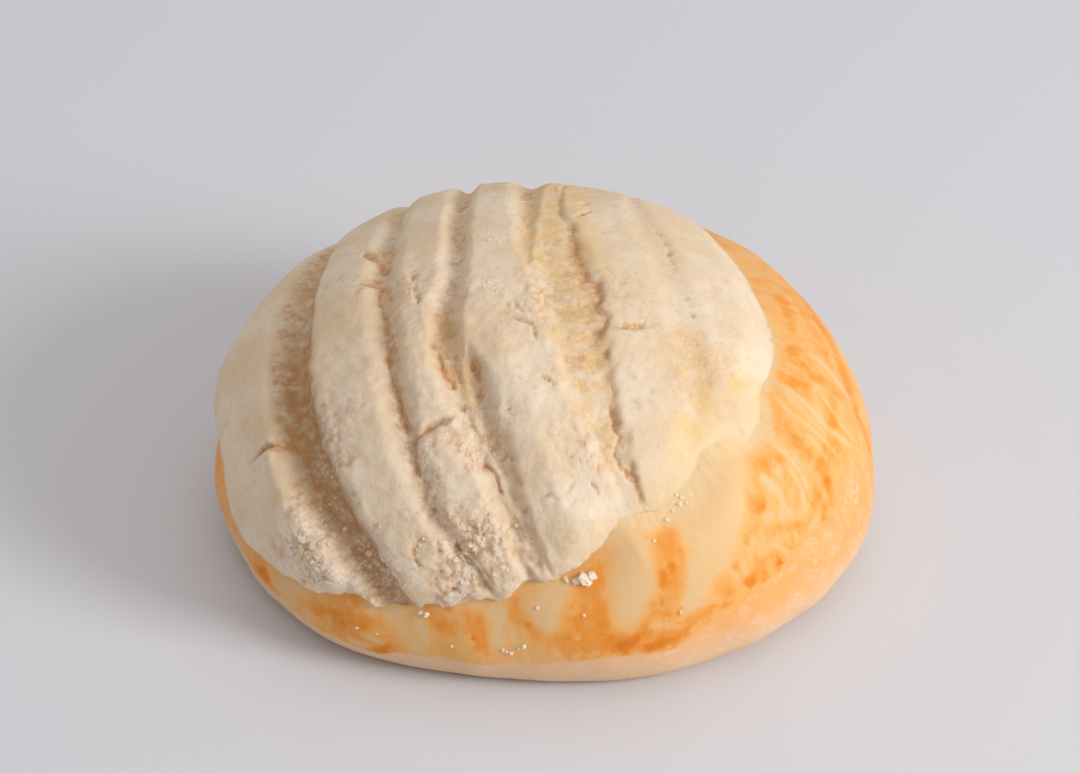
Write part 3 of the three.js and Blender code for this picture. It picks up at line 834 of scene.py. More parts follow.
@dataclass
class WashMarks:
    """Where the egg wash, its dark patches, the smeared paste and the burnt spots lie on the skin."""

    within: np.ndarray
    # The brush's strokes: how wide and how long they are, at this distance from the crown.
    brush_width: float = 1.4
    brush_length: float = 5.0
    brush_radius: float = 50.0
    # The far side, which has no marks below and is mottled instead: its direction, and where it begins.
    away: tuple[float, float, float] = (-0.35, 0.9, 0.0)
    away_between: tuple[float, float] = (6.0, 22.0)
    # How far melted paste has run from under the rim: [degrees from the right, reach].
    runs: Sequence[tuple[float, float]] = (
        (-150, -0.8), (-112, -0.8), (-103, 1), (-98, -0.6), (-94, -0.6), (-91, 0.8), (-88, -0.6), (-80, -0.6),
        (-74, 2), (-56, 3.4), (-46, 3.2), (-36, 1.6), (0, 0),
    )
    # The brushed edge round the bun: [right, back].
    edge: Sequence[tuple[float, float]] = (
        (56.8, -5.9), (49.5, -12.5), (47, -15), (45.9, -17), (45.3, -20), (45.7, -22.2), (45.7, -26),
        (44.4, -28.5), (42.9, -29.9), (41.4, -33), (39.2, -34.6), (39.8, -36.3), (37.2, -39), (35.1, -41.6),
        (34, -43.7), (31.1, -45.8), (28.8, -48.6), (26.2, -51.7), (23.4, -53.9), (17.9, -55.4),
        (10.7, -56.9), (3.3, -58.2), (-8.4, -58.5), (-20.3, -56.6), (-28.8, -54.1), (-33, -53.8),
        (-36.3, -51.9), (-40, -49.1), (-44.8, -45.5), (-50.3, -39.7), (-57, -30), (-60, -14), (-60, 8),
        (-52, 28), (-36, 44), (-14, 53), (10, 54), (32, 46), (48, 30), (57, 10),
    )
    # Dark patches, fainter halos, veiling films, thin streaks and burns: [right, back, half width].
    patches: tuple[Line, ...] = (
        ((32.3, -10, 0.7), (33.9, -11.2, 1.1), (36.2, -10, 0.9), (39, -7.3, 0.8)),
        ((34.8, -4.2, 0.7), (35.6, -6.1, 0.9), (36.9, -6.9, 0.8)),
        ((33.1, 6.6, 0.7), (34.7, 3, 0.8), (35.1, 0.4, 0.7)),
        ((29.5, 7.2, 0.4), (30.2, 4.4, 0.5), (30.9, 2.8, 0.4)),
        ((41.7, -12.8, 1.2),),
        ((31.6, -15.2, 0.5), (32.3, -17.3, 0.4), (33, -19.2, 0.3)),
        ((34.1, -18.7, 0.5), (35.5, -20.2, 0.8), (37.4, -21, 0.9)),
        ((40.8, -21.8, 0.8), (42.9, -22.3, 1.3), (44.6, -23.2, 1.2), (43.9, -25.4, 1)),
        ((41.7, -25.2, 0.7), (41.4, -27.4, 0.7), (41.6, -29, 0.5)),
        ((44.1, -27.2, 0.4), (45.4, -26.5, 0.4)),
        ((38, -31.3, 0.5), (39.3, -30.7, 0.8)),
        ((28.7, -30.2, 0.6), (30.2, -31.1, 0.9), (32, -31, 0.7)),
        ((30.9, -35.9, 0.6),),
        ((33.6, -23.7, 0.5), (34.9, -25.3, 0.4)),
        ((34.3, -38.9, 1.2), (34, -40.8, 1.2), (36, -39.3, 0.9)),
        ((38.1, -36.4, 0.6),),
        ((29.7, -39.8, 0.5),),
        ((18.4, -39.2, 1.8), (18.9, -41.1, 2.3), (19.6, -43.3, 2.4), (20.4, -45.3, 2.2), (20.2, -47.3, 1.6)),
        ((17.7, -47.7, 0.5), (18.6, -48.7, 0.6), (20.6, -48.5, 0.6), (22.3, -48.1, 0.8)),
        ((17.1, -53.2, 1.8), (19.6, -52.2, 2), (23.1, -50.7, 1.8), (25.1, -49, 1.2), (27.3, -46.8, 0.7),
         (30.4, -45.4, 0.4), (33.6, -43.8, 0.3)),
        ((8.5, -44, 0.8), (8, -45.8, 1.8), (7.5, -48, 2.3), (7.9, -50.5, 2.6), (8.6, -54.1, 2.3)),
        ((0.4, -54.4, 1.4), (4.9, -55.1, 1.3), (10.3, -54.7, 1.5), (15.4, -53.8, 1.6)),
        ((-20.1, -49.9, 0.9), (-18.1, -50.9, 1.3), (-16.1, -52.3, 1.2)),
        ((-13.2, -50.2, 0.9), (-12, -51.9, 1.4), (-11.3, -54.1, 1.4), (-10.6, -56, 0.9)),
        ((-4.8, -49.8, 1), (-4.2, -51.3, 1.2), (-2.2, -52.9, 1), (0.4, -54.1, 1.2)),
        ((-34.7, -46.9, 0.8), (-32.4, -48.3, 1), (-29.9, -49.4, 1), (-29.8, -50.9, 0.9)),
        ((-34.8, -44.2, 0.6), (-32.1, -44.4, 0.7), (-31.3, -45.2, 0.6)),
        ((-59.3, -24.7, 0.6), (-55.3, -29.9, 0.8), (-53.9, -32.3, 0.8), (-53.4, -36, 0.5)),
        ((-46.4, -39.8, 0.6), (-42.2, -43.1, 0.9), (-38.8, -45, 0.8), (-37.1, -47, 0.6)),
        ((-42, -50, 0.5), (-38, -52.6, 0.6), (-30, -53.3, 0.6)),
        ((39, 13, 1.2), (41.8, 5, 1.4), (44, 0.6, 1.2), (47.4, -6.6, 0.8), (52, -8.6, 0.6)),
    )
    halos: tuple[Line, ...] = (
        ((28.7, -22.3, 0.6), (29.6, -24.1, 1.3), (30.9, -25.3, 1.5), (32.3, -25.9, 1.1)),
        ((36.4, -35.7, 1), (38.4, -34.8, 0.9), (39.6, -33.5, 0.5)),
        ((27.1, -42.2, 1.3), (29.2, -43.1, 1.3), (28.9, -45.1, 1)),
        ((38.7, -41.6, 0.5),),
        ((42.5, -16, 1.4), (42, -20, 1.2)),
        ((36.4, -28, 1.6), (37, -24.6, 1.2)),
        ((33, -34.8, 1.4), (36, -32.2, 1)),
        ((-27, -52, 3),),
        ((-39.4, -46.2, 1), (-35.4, -49.2, 1), (-32.6, -51.1, 0.9)),
        ((37, 16, 2.4), (38, 8, 2.4), (40, 0, 1.6)),
        ((12, -55.6, 1.6), (17, -51, 1.6)),
        ((3.2, -53, 1.4), (4, -50, 1)),
    )
    films: tuple[Line, ...] = (
        ((22.3, -30.4, 3.6), (23.6, -35.5, 4.2), (25, -39, 3.6), (24.6, -42.4, 2.6), (24, -45.9, 1.6)),
        ((26, -25.3, 2.8), (26.6, -29.5, 2.8), (26.4, -33.5, 2.8)),
        ((13.2, -41.6, 2.2), (14, -44.2, 2.6), (13.9, -46.3, 2.6), (14.3, -49, 2.4), (14.6, -51.2, 1.6)),
        ((2.4, -47, 1.4), (1.2, -48.8, 1.9), (0.3, -50.7, 1.5), (1.8, -52.5, 1)),
        ((-7.8, -50.3, 1), (-7.8, -52.3, 1), (-8.1, -55.3, 0.9)),
        ((-26.4, -49.4, 1.8), (-25.2, -51.4, 1.6), (-24.4, -54, 1.4)),
        ((-22.4, -49.6, 1.2), (-21.8, -53, 1)),
        ((-46.8, -37.6, 0.7), (-44, -40.6, 0.5)),
        ((-50, -36.4, 0.8), (-47.4, -39, 0.9)),
        ((28.4, -18.8, 1.2), (28.4, -22, 1)),
    )
    streaks: tuple[Line, ...] = (
        ((31.5, -11.8, 0.45), (35.6, -13.5, 0.4), (38.9, -14.8, 0.4), (42, -15, 0.5), (46.3, -14.1, 0.4)),
        ((30.6, -16.3, 0.7), (31.3, -19.4, 0.9), (32.2, -21.4, 0.6), (33, -22, 0.3)),
        ((31.5, -27.3, 0.6), (34.5, -28.1, 0.6), (35.9, -29.4, 0.4)),
        ((31.8, -14.6, 0.2), (34.6, -16.6, 0.25), (38.7, -17.2, 0.25), (43, -17.6, 0.2)),
        ((30.6, -21.6, 0.4), (33.2, -22.1, 0.4), (36.3, -23.6, 0.25), (39, -25.1, 0.25)),
        ((35.7, -24.4, 0.25), (38.5, -26.2, 0.25), (40.2, -28, 0.2)),
        ((27.8, -40, 0.35), (30.9, -41, 0.25)),
        ((36.3, -34.8, 0.35), (39.3, -34.7, 0.35)),
        ((18.2, -50.9, 0.5), (21.3, -50.3, 0.5), (23.9, -50, 0.3)),
        ((31.8, -2.9, 0.4), (33.7, -4.2, 0.3)),
        ((37.6, -3.9, 0.35), (40.8, -4.2, 0.5), (45.3, -5.3, 0.5)),
        ((39.8, -10.6, 0.3), (43.6, -12.4, 0.35), (46.4, -12.6, 0.3)),
        ((33.6, -13.6, 0.2), (36.6, -15.6, 0.2), (40.6, -16.4, 0.2)),
        ((37.6, -18.6, 0.2), (41.6, -19.6, 0.2)),
        ((-33.8, -49.8, 0.4), (-30.8, -52.2, 0.4)),
        ((-37.6, -49.6, 0.5), (-34, -52, 0.4)),
    )
    burns: tuple[Line, ...] = (
        ((-54.6, -31.2, 0.9), (-53.4, -32.6, 0.7)),
        ((18.2, -54.2, 0.5), (21, -53.4, 0.6), (23.8, -52.3, 0.6)),
        ((22.4, -48.4, 0.6),),
        ((-38.6, -52.4, 0.5), (-35, -53, 0.7), (-30.4, -53, 0.5)),
        ((38.1, -36.4, 0.4),),
        ((34, -40.9, 0.7),),
        ((32.2, -31.2, 0.4),),
        ((-2.5, -52.4, 0.3),),
        ((-16.2, -49.2, 0.5),),
        ((14.4, -54.6, 0.8), (16.6, -53.2, 0.5)),
        ((42.9, -22.3, 0.5),),
        ((19.4, -42.4, 0.4),),
        ((18.3, -43, 0.3), (19.4, -47.4, 0.3)),
        ((-12.6, -53.6, 0.4),),
        ((53, -8.8, 0.5),),
    )

    def keep(self, piece: bpy.types.Object, skin: np.ndarray, plain: np.ndarray) -> None:
        """Keeps the marks on a piece, the strokes and edges as distances in millimetres.

        Args:
            piece: The bun's skin.
            skin: The place of each vertex.
            plain: Its point on the bun's form.
        """
        loop = np.array(self.edge, float)
        angles, radii = np.arctan2(loop[:, 1], loop[:, 0]), np.hypot(loop[:, 0], loop[:, 1])
        order = np.argsort(angles)
        angle = np.arctan2(skin[:, 1], skin[:, 0])
        edge = np.interp(angle, angles[order], radii[order], period=2 * math.pi)
        write_field(piece, "washed", np.clip(edge - np.hypot(skin[:, 0], skin[:, 1]), -8.0, 8.0))
        for name in ("patches", "halos", "films", "streaks", "burns"):
            write_field(piece, name, strokes(getattr(self, name), skin))
        write_field(piece, "run", np.interp(np.degrees(angle), *zip(*self.runs)) + self.within)
        write_field(piece, "unseen", smoothstep(plain @ np.array(self.away), *self.away_between))
        # The brush went outwards from the crust: the wash varies faster round the bun than down its side.
        out = np.hypot(skin[:, 0], skin[:, 1])
        around = self.brush_radius / self.brush_width
        brush = np.column_stack([around * np.cos(angle), around * np.sin(angle), out / self.brush_length])
        write_field(piece, "brush", brush)


@dataclass(frozen=True)
class PasteRelief:
    """The paste's relief: lumps packed side by side where it is rough, and soft swells where it is smooth."""

    lump_size: float = 2.1
    lump_seam: float = 0.6
    lump_height: float = 0.34
    broken_size: float = 1.5
    broken_seam: float = 0.26
    broken_height: float = 0.5
    packed: Unevenness = Unevenness(0.26, 1.8, 15, layers=2)
    grit: Unevenness = Unevenness(0.07, 0.9, 6)
    swell: Unevenness = Unevenness(0.16, 3.4, 7)
    ripple: Unevenness = Unevenness(0.1, 1.5, 8, layers=3)
    finest: Unevenness = Unevenness(0.05, 0.7, 19)
    # The share of the swells that rough paste hides, and of the lumps that stays where it baked calm.
    swell_hidden: float = 0.4
    lumps_kept: float = 0.3

    def lumps(self, plain: np.ndarray) -> tuple[np.ndarray, np.ndarray]:
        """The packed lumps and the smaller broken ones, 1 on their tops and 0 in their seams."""
        packed = lumps(plain, self.lump_size, 5, self.lump_seam)
        return packed, lumps(plain, self.broken_size, 9, self.broken_seam)

    def height(
        self, plain: np.ndarray, lumped: tuple[np.ndarray, np.ndarray], rough: np.ndarray,
        crumbled: np.ndarray, lively: np.ndarray,
    ) -> np.ndarray:
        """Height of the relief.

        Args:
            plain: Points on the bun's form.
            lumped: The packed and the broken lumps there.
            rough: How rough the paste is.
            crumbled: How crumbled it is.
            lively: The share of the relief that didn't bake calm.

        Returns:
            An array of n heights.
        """
        lump, broken = lumped
        high = self.lump_height * (lump - 1.0) + self.packed.at(plain)
        high = mix(self.lumps_kept, 1.0, lively) * high
        high += self.grit.at(plain, lively) + self.broken_height * crumbled * (broken - 1.0)
        soft = self.swell.at(plain, lively) + self.ripple.at(plain, lively)
        return rough * high + (1.0 - self.swell_hidden * rough) * soft + self.finest.at(plain, lively)


@dataclass
class SugarCrust:
    """The scored sugar paste over the crown and the left of the bun."""

    bed: Bed
    # The body: the gap under it, how far its crests rise, how thin it may be and how its rim rounds off on
    # the left and thins out on the right.
    gap: float = 0.3
    crest_rise: float = 0.35
    thinnest: float = 0.35
    edge_round: float = 3.2
    feather: float = 6.5
    # The mesh: faces across each strip and along it, how many of them one face underneath spans, and how
    # deep the underside lies in the dough.
    strip_faces: Sequence[int] = (58, 38, 28, 14, 34, 26, 42, 36)
    rows: int = 308
    coarser: int = 4
    sink: float = 0.45
    # Cuts: how much wider and shallower baking made them, how narrow tears stayed and how blunt they are.
    wider: float = 1.12
    shallower: float = 0.92
    tear_width: float = 0.6
    blunt: float = 0.16
    cut_spans: int = 28
    # Distances across a ledge count for more on its right, where it stands up, than on its left.
    ledge_sides: tuple[float, float] = (1.9, 0.62)
    # Crumbled places: how wide and how high their broken lumps are, and how their edge wanders.
    crumb_size: float = 4.2
    crumb_height: float = 0.6
    crumbled_edge: Unevenness = Unevenness(0.5, 4.0, 33.5, layers=3)
    # Pits: the radius of the least, and how radius and depth grow from smooth paste to rough.
    pits: int = 1000
    pit_radius: float = 0.28
    widest_pit: float = 1.4
    pit_growth: tuple[float, float] = (0.025, 0.06)
    pit_depth: tuple[float, float] = (0.35, 0.8)
    scar_depth: float = 0.45
    relief: PasteRelief = PasteRelief()
    # The relief is strongest in front. From where to where it calms towards the back and the right, and
    # the share that stays there.
    calm_back: tuple[float, float] = (-16.0, 4.0)
    calm_right: tuple[float, float] = (9.0, 15.0)
    back_share: float = 0.3
    right_share: float = 0.6
    # How rough cuts and floors are, and between which depths they grow rough.
    cut_roughness: float = 0.75
    cut_depths: tuple[float, float] = (0.25, 1.2)
    floor_roughness: float = 0.35
    floor_depths: tuple[float, float] = (0.1, 0.6)
    rough_patches: Unevenness = Unevenness(1.0, 5.0, 21, layers=2)
    # Crevices: how their width wanders, how steep their sides are and how deep they go.
    crevice_spread: float = 0.05
    crevice_edge: Unevenness = Unevenness(0.4, 1.5, 17)
    crevice_slope: float = 0.9
    deepest_crevice: float = 0.4
    # The depth at which the painted shade in a cut is darkest.
    darkest_shade_depth: float = 2.4
    # How far in from the rim it frays, shows its edge and has melted, and how much more a loose rim frays.
    frayed_width: float = 1.8
    edge_width: float = 2.0
    melted_width: float = 2.2
    loose_fray: float = 1.5
    # How the rim, the cuts, the scalloped cuts and all small edges stray: [reach, size, layer].
    rim_waves: Sequence[tuple[float, float, int]] = ((0.75, 2.9, 11), (0.3, 1.2, 13))
    cut_waves: Sequence[tuple[float, float, int]] = ((0.45, 3.6, 1), (0.1, 1.9, 31))
    scallop_waves: Sequence[tuple[float, float, int]] = ((0.95, 2.4, 51),)
    small_waves: Sequence[tuple[float, float, int]] = ((0.4, 1.2, 3),)
    grains: dict[str, np.ndarray] = field(default_factory=dict)

    def __post_init__(self) -> None:
        """Fits the strips' lines to the rim."""
        # Baking opened the cuts: they are wider and shallower than the knife left them. Tears stay narrow.
        scales = [(cut, self.wider) for cut in (*SCORES, *FLOORS)]
        scales += [(cut, self.tear_width) for cut in TEARS]
        n = self.cut_spans
        self._cuts = [(cut, SkinLine(cut.line).chain(n) * [1.0, 1.0, scale]) for cut, scale in scales]
        bed = self.bed
        self._fronts, self._backs, self._lines = [0.0], [0.0], [bed.left]
        for cut in SCORES:
            places = [list(p[:2]) for p in cut.line]
            front = nearest(bed.front_chain, np.array([places[0]], float))[1][0]
            back = nearest(bed.back_chain, np.array([places[-1]], float))[1][0]
            places[0] = list(bed.front.at([front])[0, :2])
            places[-1] = list(bed.back.at([back])[0, :2])
            self._fronts.append(front)
            self._backs.append(back)
            self._lines.append(SkinLine(places))
        self._fronts.append(1.0)
        self._backs.append(1.0)
        self._lines.append(bed.right)

    # ---- where the faces lie

    def _places(self, across: np.ndarray, along: np.ndarray) -> np.ndarray:
        """Places of the crust.

        Args:
            across: Strip number plus the share across the strip.
            along: Share from the front rim to the back rim.

        Returns:
            An array of n places.
        """
        strip = np.minimum(across.astype(int), len(self.strip_faces) - 1)
        share = across - strip
        ends = np.array(self._fronts), np.array(self._backs)
        front = self.bed.front.at(mix(ends[0][strip], ends[0][strip + 1], share))[:, :2]
        back = self.bed.back.at(mix(ends[1][strip], ends[1][strip + 1], share))[:, :2]
        sides = np.zeros_like(front)
        corners = np.zeros_like(front)
        for number in range(len(self.strip_faces)):
            mine = strip == number
            left, right = self._lines[number], self._lines[number + 1]
            part = share[mine][:, None]
            sides[mine] = mix(left.at(along[mine])[:, :2], right.at(along[mine])[:, :2], part)
            low = mix(left.at([0.0])[:, :2], right.at([0.0])[:, :2], part)
            high = mix(left.at([1.0])[:, :2], right.at([1.0])[:, :2], part)
            corners[mine] = mix(low, high, along[mine][:, None])
        return mix(front, back, along[:, None]) + sides - corners

    def _grid(self, bm: bmesh.types.BMesh, coarser: int, level: float) -> list[bmesh.types.BMVert]:
        """Adds a grid whose vertices stand at their share across and along, at a level.

        Args:
            bm: The mesh it joins.
            coarser: How many of the fine faces one face spans.
            level: The height that tells the layers apart.

        Returns:
            The grid's vertices.
        """
        columns, rows = sum(self.strip_faces) // coarser, self.rows // coarser
        made = bmesh.ops.create_grid(bm, x_segments=columns, y_segments=rows, size=0.5)
        bmesh.ops.translate(bm, vec=(0, 0, level), verts=made["verts"])
        return made["verts"]

    def build(self) -> bpy.types.Object:
        """Two grids bridged round the rim, moved onto the crust's top and into its bed.

        Returns:
            The crust.
        """
        bm = bmesh.new()
        self._grid(bm, 1, 1.0)
        self._grid(bm, self.coarser, 0.0)
        rim = [edge for edge in bm.edges if edge.is_boundary]
        bmesh.ops.bridge_loops(bm, edges=rim)
        bmesh.ops.recalc_face_normals(bm, faces=bm.faces)
        piece = mesh_object("sugar_paste_crust", bm)
        flat = read_points(piece)
        total = sum(self.strip_faces)
        starts = np.concatenate([[0], np.cumsum(self.strip_faces)])
        across = np.interp((flat[:, 0] + 0.5) * total, starts, np.arange(len(starts)))
        along = np.clip(flat[:, 1] + 0.5, 0.0, 1.0)
        skin = self._places(across, along)
        on_rim = (np.abs(flat[:, :2]) > 0.5 - 1e-6).any(axis=1)
        within = np.where(on_rim, 0.0, np.maximum(self.bed.within(skin), 0.0))
        top = flat[:, 2] > 0.5
        self._shape(piece, skin, within, top)
        return piece

    def _shape(
        self, piece: bpy.types.Object, skin: np.ndarray, within: np.ndarray, top: np.ndarray
    ) -> None:
        """Moves the grids' vertices and keeps what the paste's finish and the crumbs read.

        Args:
            piece: The two bridged grids.
            skin: The place of each vertex.
            within: How far inside the rim it is.
            top: Whether it is on the crust's top.
        """
        form = self.bed.form
        plain = form.point(skin)
        loose = np.maximum(smoothstep(-skin[:, 1], 30.0, 38.0), smoothstep(skin[:, 0], 24.0, 29.0))
        ragged = mix(1.0, self.loose_fray, loose)[:, None]
        frayed = ragged * waver(plain, self.rim_waves)
        skin = skin + frayed * np.exp(-within / self.frayed_width)[:, None]
        height = np.full(len(skin), -self.sink)
        names = ("hollow_shade", "pit", "crumb", "low", "golden", "edge", "powder", "melted")
        marks = {name: np.zeros(len(skin)) for name in names}
        height[top], found = self._height(skin[top], plain[top], within[top])
        for name, values in found.items():
            marks[name][top] = values
        points = self.bed.dough(skin, within, height)
        write_points(piece, points)
        for name, values in marks.items():
            write_field(piece, name, values)
        self.grains = {"points": points[top], "normals": form.normal(skin[top]), "skin": skin[top]}
        self.grains.update({name: values[top] for name, values in marks.items()})

    # ---- the relief

    def _depth(self, skin: np.ndarray) -> tuple[np.ndarray, np.ndarray, np.ndarray]:
        """How deep the cuts go at places, below the crests.

        Args:
            skin: The places.

        Returns:
            The depth of all the cuts, of the flat floors alone and of the tears alone.
        """
        deepest = np.zeros(len(skin))
        floor = np.zeros(len(skin))
        torn = np.zeros(len(skin))
        for cut, chain in self._cuts:
            margin = chain[:, 2].max() / min(self.ledge_sides)
            low, high = chain[:, :2].min(0) - margin, chain[:, :2].max(0) + margin
            near = np.flatnonzero(np.all((skin > low) & (skin < high), axis=1))
            distance, _, reach = nearest(chain, skin[near])
            if cut.kind is Cut.LEDGE:
                middle = np.interp(skin[near, 1], chain[:, 1], chain[:, 0])
                distance = distance * np.where(skin[near, 0] > middle, *self.ledge_sides)
            held = distance < reach
            share = np.clip(np.hypot(distance[held] / reach[held], self.blunt) - 0.3 * self.blunt, 0.0, 1.0)
            depth = cut.steepness * reach[held] / self.wider * self.shallower * cut.kind.profile(share)
            depth *= smoothstep(reach[held], 0.1, 0.6)
            if cut.kind is Cut.LEDGE:
                # Its lip broke off in places, so the tear comes and goes.
                depth *= mix(0.5, 1.0, smoothstep(grain(skin[near[held]], 3.0, 61), -0.35, 0.2))
            # Where two cuts meet, the crest between them has crumbled away.
            deepest[near[held]] = (deepest[near[held]] ** 3 + depth**3) ** (1 / 3)
            if cut.kind is Cut.TROUGH:
                floor[near[held]] = np.maximum(floor[near[held]], depth)
            if cut.kind in (Cut.CRACK, Cut.LEDGE):
                torn[near[held]] = np.maximum(torn[near[held]], depth)
        return deepest, floor, torn

    def _crumbling(self, skin: np.ndarray) -> tuple[np.ndarray, np.ndarray]:
        """Height of the broken lumps, and how crumbled each place is.

        Args:
            skin: The places.

        Returns:
            The heights, and how crumbled each place is.
        """
        lump = grain(skin, self.crumb_size, 3.5) + 0.6 * grain(skin, self.crumb_size / 2, 4.5)
        ragged = self.crumbled_edge.at(skin)
        crumbled = np.zeros(len(skin))
        for middle, radius, most in CRUMBLED:
            share = np.hypot(skin[:, 0] - middle[0], skin[:, 1] - middle[1]) / radius
            crumbled = np.maximum(crumbled, most * (1.0 - smoothstep(share + ragged, 0.2, 1.0)))
        return self.crumb_height * crumbled * lump, crumbled

    def _pitting(self, skin: np.ndarray, rough: np.ndarray) -> np.ndarray:
        """Depth of the small pits: pinholes everywhere, wider and close together where the paste is rough.

        Args:
            skin: The places.
            rough: How rough the paste is there.

        Returns:
            An array of n depths.
        """
        rng = np.random.default_rng(SEED)
        depth = np.zeros(len(skin))
        middles = rng.uniform(skin.min(0), skin.max(0), (self.pits, 2))
        sizes = rng.gamma(3.0, 1.0, self.pits)
        keen = rng.random(self.pits)
        order = np.argsort(skin[:, 0])
        sorted_right = skin[order, 0]
        for middle, size, wish in zip(middles, sizes, keen):
            sides = [middle[0] - self.widest_pit, middle[0] + self.widest_pit]
            first, last = np.searchsorted(sorted_right, sides)
            some = order[first:last]
            some = some[np.abs(skin[some, 1] - middle[1]) < self.widest_pit]
            if len(some) == 0:
                continue
            roughness = rough[some].mean()
            if wish > 0.5 + 0.5 * roughness:
                continue
            radius = self.pit_radius + size * mix(*self.pit_growth, roughness)
            share = np.hypot(*(skin[some] - middle).T) / radius
            deep = mix(*self.pit_depth, roughness) * radius
            depth[some] = np.maximum(depth[some], deep * np.clip(1 - share**2, 0, 1) ** 1.5)
        for right, back, radius, deep in SCARS:
            share = np.hypot(skin[:, 0] - right, skin[:, 1] - back) / radius
            depth = np.maximum(depth, self.scar_depth * deep * np.clip(1 - share**2, 0, 1) ** 1.2)
        return depth

    def _height(
        self, skin: np.ndarray, plain: np.ndarray, within: np.ndarray
    ) -> tuple[np.ndarray, dict[str, np.ndarray]]:
        """Height of the crust's top over the dough.

        Args:
            skin: Places of the top.
            plain: Their points on the bun's form.
            within: How far inside the rim they are.

        Returns:
            The heights, and the marks that the paste's finish reads.
        """
        bend, fray = self._waver(skin, plain)
        cut, floor, torn = self._depth(skin + bend)
        crumbs, crumbled = self._crumbling(skin)
        rough = self._roughness(plain, cut, floor, crumbled)
        lively = mix(1.0, self.back_share, smoothstep(skin[:, 1], *self.calm_back))
        lively *= mix(1.0, self.right_share, smoothstep(skin[:, 0], *self.calm_right))
        lump, broken = self.relief.lumps(plain)
        pit = mix(0.4, 1.0, lively) * self._pitting(skin + fray, rough)
        crevice = strokes(CREVICES, skin + fray, 1.0) + self.crevice_spread + self.crevice_edge.at(plain)
        crevice = np.maximum(crevice, 0.0)
        detail = self.relief.height(plain, (lump, broken), rough, crumbled, lively)
        detail -= pit + np.minimum(self.crevice_slope * crevice, self.deepest_crevice)
        bed = self.bed.depth * smoothstep(within, -self.bed.outside, self.bed.inside)
        body = bed - self.gap + self.crest_rise - cut + crumbs + self._swelling(skin + bend)
        full = np.maximum(self.gap + body + detail, self.thinnest)
        # What the finish reads: painted shade and fat's brown in the depths, where flour lies and sugar
        # melted.
        # Painted shade in the cuts: darker the deeper they go, lighter towards the back; its brown is partly
        # the paste's own tone.
        hollow_shade = np.clip((cut - floor) / self.darkest_shade_depth, 0.0, 1.0)
        dusted = smoothstep(strokes(POWDERED, skin + bend + fray), -0.8, 0.8)
        front_right = smoothstep(skin[:, 0], 10.0, 18.0) * smoothstep(-skin[:, 1], 6.0, 16.0)
        marks = {
            "hollow_shade": hollow_shade * mix(1.0, 0.6, smoothstep(skin[:, 1], -10.0, 2.0)),
            # Pits, crevices and tear bottoms take brown that is partly the fat's colour and partly painted
            # shade.
            "pit": np.clip(pit / 0.6 + 2.4 * crevice + 0.9 * smoothstep(torn, 0.2, 0.6), 0.0, 1.0),
            "crumb": rough,
            # The low seams between lumps: partly the fat's brown, partly painted shade.
            "low": np.maximum(0.6 * rough * (1.0 - lump), crumbled * (1.0 - broken)),
            "golden": smoothstep(strokes(GOLDEN, skin, 4.0), -2.0, 2.5),
            "edge": np.exp(-within / self.edge_width),
            "powder": np.maximum(dusted, 0.9 * crumbled * broken),
            "melted": np.exp(-within / self.melted_width) * front_right,
        }
        return full * self._rounding(skin, within), marks

    def _waver(self, skin: np.ndarray, plain: np.ndarray) -> tuple[np.ndarray, np.ndarray]:
        """How far the cuts stray from their lines, and how their small edges fray besides.

        Args:
            skin: The places.
            plain: Their points on the bun's form.

        Returns:
            The shift of the cuts, and that of the small edges.
        """
        scalloped = smoothstep(strokes(SCALLOPED, skin, 3.0), -3.0, -0.4)[:, None]
        bend = waver(plain, self.cut_waves) + scalloped * waver(plain, self.scallop_waves)
        return bend, waver(plain, self.small_waves)

    def _roughness(
        self, plain: np.ndarray, cut: np.ndarray, floor: np.ndarray, crumbled: np.ndarray
    ) -> np.ndarray:
        """How rough the paste is: in the cuts, on the floors and where it crumbled, in patches.

        Args:
            plain: Points on the bun's form.
            cut: How deep the cuts go there.
            floor: How deep the flat floors go.
            crumbled: How crumbled the paste is.

        Returns:
            An array of n values, from 0 to 1.
        """
        in_cut = self.cut_roughness * smoothstep(cut - 0.8 * floor, *self.cut_depths)
        on_floor = self.floor_roughness * smoothstep(floor, *self.floor_depths)
        patchy = smoothstep(self.rough_patches.at(plain), -0.3, 0.4)
        opened = (in_cut + on_floor) * (0.45 + 0.55 * patchy)
        return np.maximum(np.clip(opened, 0.0, 1.0), crumbled * (0.6 + 0.4 * patchy))

    def _rounding(self, skin: np.ndarray, within: np.ndarray) -> np.ndarray:
        """The share of the height at the rim: blunt on the left, thinning out on the right.

        Args:
            skin: The places.
            within: How far inside the rim they are.

        Returns:
            An array of n shares.
        """
        share = np.minimum(within / self.edge_round, 1.0)
        blunt_edge = np.sqrt(np.maximum(1.0 - (1.0 - share) ** 2, 0.0))
        thin_edge = smoothstep(np.clip(within / self.feather, 0.0, 1.0), -0.25, 1.0)
        return mix(blunt_edge, thin_edge * smoothstep(within, -0.2, 1.6), smoothstep(skin[:, 0], 3.0, 14.0))

    @staticmethod
    def _swelling(skin: np.ndarray) -> np.ndarray:
        """Height of the swollen crests over the others.

        Args:
            skin: The places.

        Returns:
            An array of n heights.
        """
        height = np.zeros(len(skin))
        for reach, rise, line in SWELLS:
            height += rise * smoothstep(strokes((line,), skin, reach), -reach, 0.2 * reach)
        return height


# ---------------------------------------------------------------------------------------- loose bits


